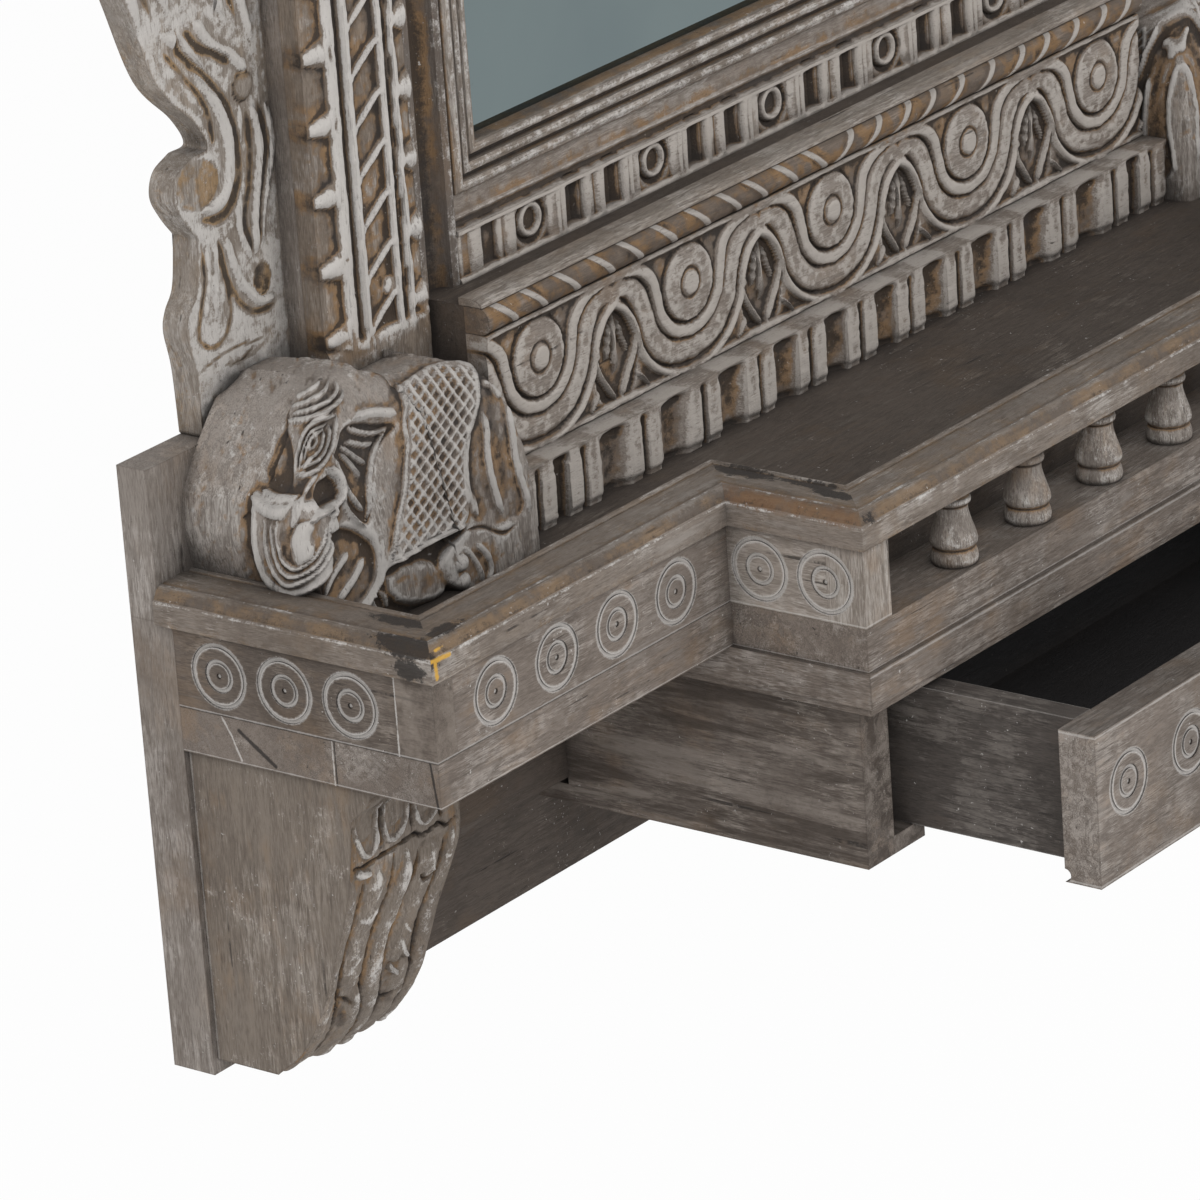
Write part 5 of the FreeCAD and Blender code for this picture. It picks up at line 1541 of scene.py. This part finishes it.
boardRings = {
    # axis they run on, first centre, pitch, count, other axis and centre
    "end": (("y", -139, 42, 3, "z", 21.5),),
    "front": (("x", -465, 50, 4, "z", 21.5), ("x", 315, 50, 4, "z", 21.5)),
    "return": (("y", -253, 41, 2, "z", 21.5),),
    "drawer": (("x", -204, 58.3, 8, "z", -86),),
}


def glassFinish():
    material, start, shader = newMaterial("silveredGlass")
    place = start.node("TexCoord", out="Object")
    haze = noise(start, place, 9, 3, 0.5)
    spots = noise(start, place, 170, 2, 0.6).step(0.74, 0.82)
    colour = haze.step(0.3, 0.7).blend(tint(109, 121, 123), tint(114, 126, 127))
    colour = (spots * 0.25).blend(colour, tint(84, 92, 91))
    start.tree.links.new(colour.socket, shader.inputs["Base Color"])
    start.tree.links.new((haze * 0.03 + 0.015 + spots * 0.1).socket, shader.inputs["Roughness"])
    shader.inputs["Metallic"].default_value = 1.0
    return material


def steelFinish():
    material, start, shader = newMaterial("zincSteel")
    place = start.node("TexCoord", out="Object")
    cloud, fine = noise(start, place, 60, 4, 0.6), noise(start, place, 700, 3, 0.6)
    start.tree.links.new(cloud.step(0.35, 0.7).blend(tint(168, 168, 164), tint(132, 132, 128)).socket,
                         shader.inputs["Base Color"])
    start.tree.links.new((0.32 + fine * 0.2).socket, shader.inputs["Roughness"])
    bump = start.node("Bump", None, {"Strength": 0.3, "Distance": 0.0003, "Height": fine})
    start.tree.links.new(bump.socket, shader.inputs["Normal"])
    shader.inputs["Metallic"].default_value = 1.0
    return material


def insideDark(start, place, cloud, pits):
    # the drawer's inner faces, all but those that look up, are made near black, and so is its floor
    across = abs(axes(start, place)[0]) * 1000
    up = axes(start, start.node("TexCoord", out="Normal"))[2]
    return [(across.step(217.4, 216.6) * up.step(0.6, 0.4) * 0.92, tint(40, 39, 40))]


def dressBoards():
    rings = boardRings
    dark = {"base": (88, 79, 72), "light": (116, 107, 99), "dark": (58, 51, 46), "ochre": (92, 74, 56)}
    black = {"base": (38, 37, 38), "light": (54, 52, 52), "dark": (26, 25, 25), "ochre": (46, 42, 38),
             "wash": (96, 94, 92)}
    grey = {"base": (124, 114, 106), "light": (154, 146, 139), "dark": (78, 69, 62)}
    brown = {"base": (106, 96, 88), "light": (138, 128, 119), "dark": (64, 56, 50)}
    bright = {"base": (146, 137, 129), "light": (172, 165, 158), "dark": (96, 86, 76)}
    finishes = {
        "base_board": woodFinish("baseWood", "x", grey, 0.5, 0.3, smudges=0.65, marks=lineMarks(
            [("z", -23.2, 0.3)],
            whites=[((-514.2, a, b), (-514.2, c, d), half) for a, b, c, d, half in (
                (-54, 0, -60, -10, 0.7), (-60, -10, -65, -22, 0.7), (-125, 0, -125, -24, 0.45))],
            darks=[((-514.2, a, b), (-514.2, c, d), half) for a, b, c, d, half in (
                (-65, -6, -87, -21, 1.3), (-187, 0, -190, -24, 0.8), (-126.4, 0, -126.4, -24, 0.5))])),
        "frieze_ends": woodFinish("endFriezeWood", "y", brown, 0.4, 0.2, smudges=0.65, marks=lineMarks(
            [("z", 0.9, 0.45)], rings["end"], whites=(((-514, -168, 0), (-514, -168, 44), 0.45),),
            grimeAndShade=[("z", 43.5, 1.6), ("z", 0, 1.2)], pale=[("y", -181, 12.6)])),
        "frieze_fronts": woodFinish("frontFriezeWood", "x", grey, 0.45, 0.35, smudges=0.65, marks=lineMarks(
            [("z", 0.9, 0.45)], rings["front"], grimeAndShade=[("z", 43.5, 1.6), ("z", 0, 1.2)])),
        "frieze_returns": woodFinish(
            "returnFriezeWood", "y", bright, 0.65, 0.3, smudges=0.35,
            marks=lineMarks([("z", 0.9, 0.45)], rings["return"], grimeAndShade=[("z", 43.5, 1.4)])),
        "newel_posts": woodFinish("newelWood", "z", bright, 0.6, 0.3, smudges=0.4, marks=lineMarks(
            [("z", 0.9, 0.45)], rings["return"])),
        "drawer_front": woodFinish("drawerFrontWood", "x", grey, 0.6, 0.3, smudges=0.6, marks=lineMarks(
            [("z", -52.4, 0.6), ("z", -134.0, 0.6)], rings["drawer"]), topDustAndShade=0.5),
        "floor_board": woodFinish("floorWood", "x", dark, 0.25, 0.3),
        "back_board": woodFinish("backBoardWood", "x", dark, 0.2, 0.3),
        "apron_core": woodFinish("coreWood", "x", dark, 0.2, 0.2),
        "ovolo_moulding": woodFinish("ovoloWood", "x", {"base": (140, 131, 122), "light": (168, 161, 154)},
                                     0.5, 0.2, topDustAndShade=0.9),
        "housing_band_front": woodFinish("bandWood", "x", grey, 0.5, 0.3,
                                         marks=lineMarks([("z", -25.4, 0.6)])),
        "drawer_bottom": woodFinish("drawerFloorWood", "x", black, 0.1, 0.1),
        "mirror_backing": woodFinish("backingBoard", "z", {"base": (122, 100, 76)}, 0.1, 0.2),
        "mirror_glass": glassFinish(),
        "hanger_plates": steelFinish(),
    }
    finishes["hanger_screws"] = finishes["hanger_plates"]
    finishes["housing_band_sides"] = woodFinish("bandSideWood", "y", grey, 0.5, 0.3)
    drawerSide = {"base": (78, 72, 68), "light": (104, 98, 93), "dark": (48, 44, 41), "ochre": (84, 70, 56)}
    for name in ("drawer_side_left", "drawer_side_right"):
        finishes[name] = woodFinish(name + "Wood", "y", drawerSide, 0.4, 0.15, marks=insideDark, edges=0.3)
    finishes["drawer_back"] = finishes["drawer_bottom"]
    finishes["floor_bearers"] = finishes["shelf_ledger"] = finishes["back_board"]
    pale = {"base": (136, 128, 121), "light": (160, 153, 147)}
    upright = woodFinish("postWood", "z", pale, 0.5, 0.2)
    deep = woodFinish("housingWood", "y", dict(brown, base=(114, 105, 98), light=(144, 135, 127)), 0.45, 0.2,
                      smudges=0.6, flames=0.7)
    for name in nodes:
        if name.startswith("housing_cheek") or name.startswith("drawer_runner"):
            finishes[name] = deep
        dress(name, finishes.get(name, upright))
    print("boards dressed")


dressBoards()


# studio

def whiteToCamera(tree, surface, share):
    # what the camera, mirrors and glass see of a surface is white, by a share
    start = Wire(tree, surface)
    camera, glossy, through = (start.node("LightPath", out="Is %s Ray" % kind)
                               for kind in ("Camera", "Glossy", "Transmission"))
    return camera.larger(glossy).larger(through) * share


def buildStudio():
    s = lightSettings
    world = bpy.data.worlds.new("studio")
    bpy.context.scene.world = world
    world.use_nodes = True
    tree = world.node_tree
    light = tree.nodes["Background"]
    light.inputs["Color"].default_value = (1, 1, 1, 1)
    light.inputs["Strength"].default_value = s["worldStrength"]
    white = tree.nodes.new("ShaderNodeBackground")
    white.inputs["Color"].default_value = (1, 1, 1, 1)
    mix = tree.nodes.new("ShaderNodeMixShader")
    tree.links.new(whiteToCamera(tree, light.outputs[0], 1.0).socket, mix.inputs[0])
    tree.links.new(light.outputs[0], mix.inputs[1])
    tree.links.new(white.outputs[0], mix.inputs[2])
    tree.links.new(mix.outputs[0], tree.nodes["World Output"].inputs["Surface"])

    floorMesh = bmesh.new()
    bmesh.ops.create_grid(floorMesh, x_segments=1, y_segments=1, size=s["floorSize"])
    bmesh.ops.translate(floorMesh, verts=floorMesh.verts, vec=(0, 0, s["floorLevel"]))
    mesh = bpy.data.meshes.new("floor")
    floorMesh.to_mesh(mesh)
    floorMesh.free()
    floor = bpy.data.objects.new("floor", mesh)
    bpy.context.scene.collection.objects.link(floor)
    material = bpy.data.materials.new("floorPaint")
    material.use_nodes = True
    tree = material.node_tree
    paint = tree.nodes["Principled BSDF"]
    paint.inputs["Base Color"].default_value = (0.86, 0.86, 0.86, 1)
    paint.inputs["Roughness"].default_value = 0.9
    glow = tree.nodes.new("ShaderNodeEmission")
    mix = tree.nodes.new("ShaderNodeMixShader")
    tree.links.new(whiteToCamera(tree, paint.outputs[0], s["floorWhite"]).socket, mix.inputs[0])
    tree.links.new(paint.outputs[0], mix.inputs[1])
    tree.links.new(glow.outputs[0], mix.inputs[2])
    tree.links.new(mix.outputs[0], tree.nodes["Material Output"].inputs["Surface"])
    mesh.materials.append(material)

    for i, (place, target, size, power) in enumerate(s["lamps"]):
        lamp = bpy.data.lights.new("softbox%d" % (i + 1), "AREA")
        lamp.size, lamp.energy = size, power
        holder = bpy.data.objects.new(lamp.name, lamp)
        holder.location = place
        holder.rotation_euler = (Vector(target) - Vector(place)).to_track_quat("-Z", "Y").to_euler()
        bpy.context.scene.collection.objects.link(holder)
    print("studio built")


buildStudio()
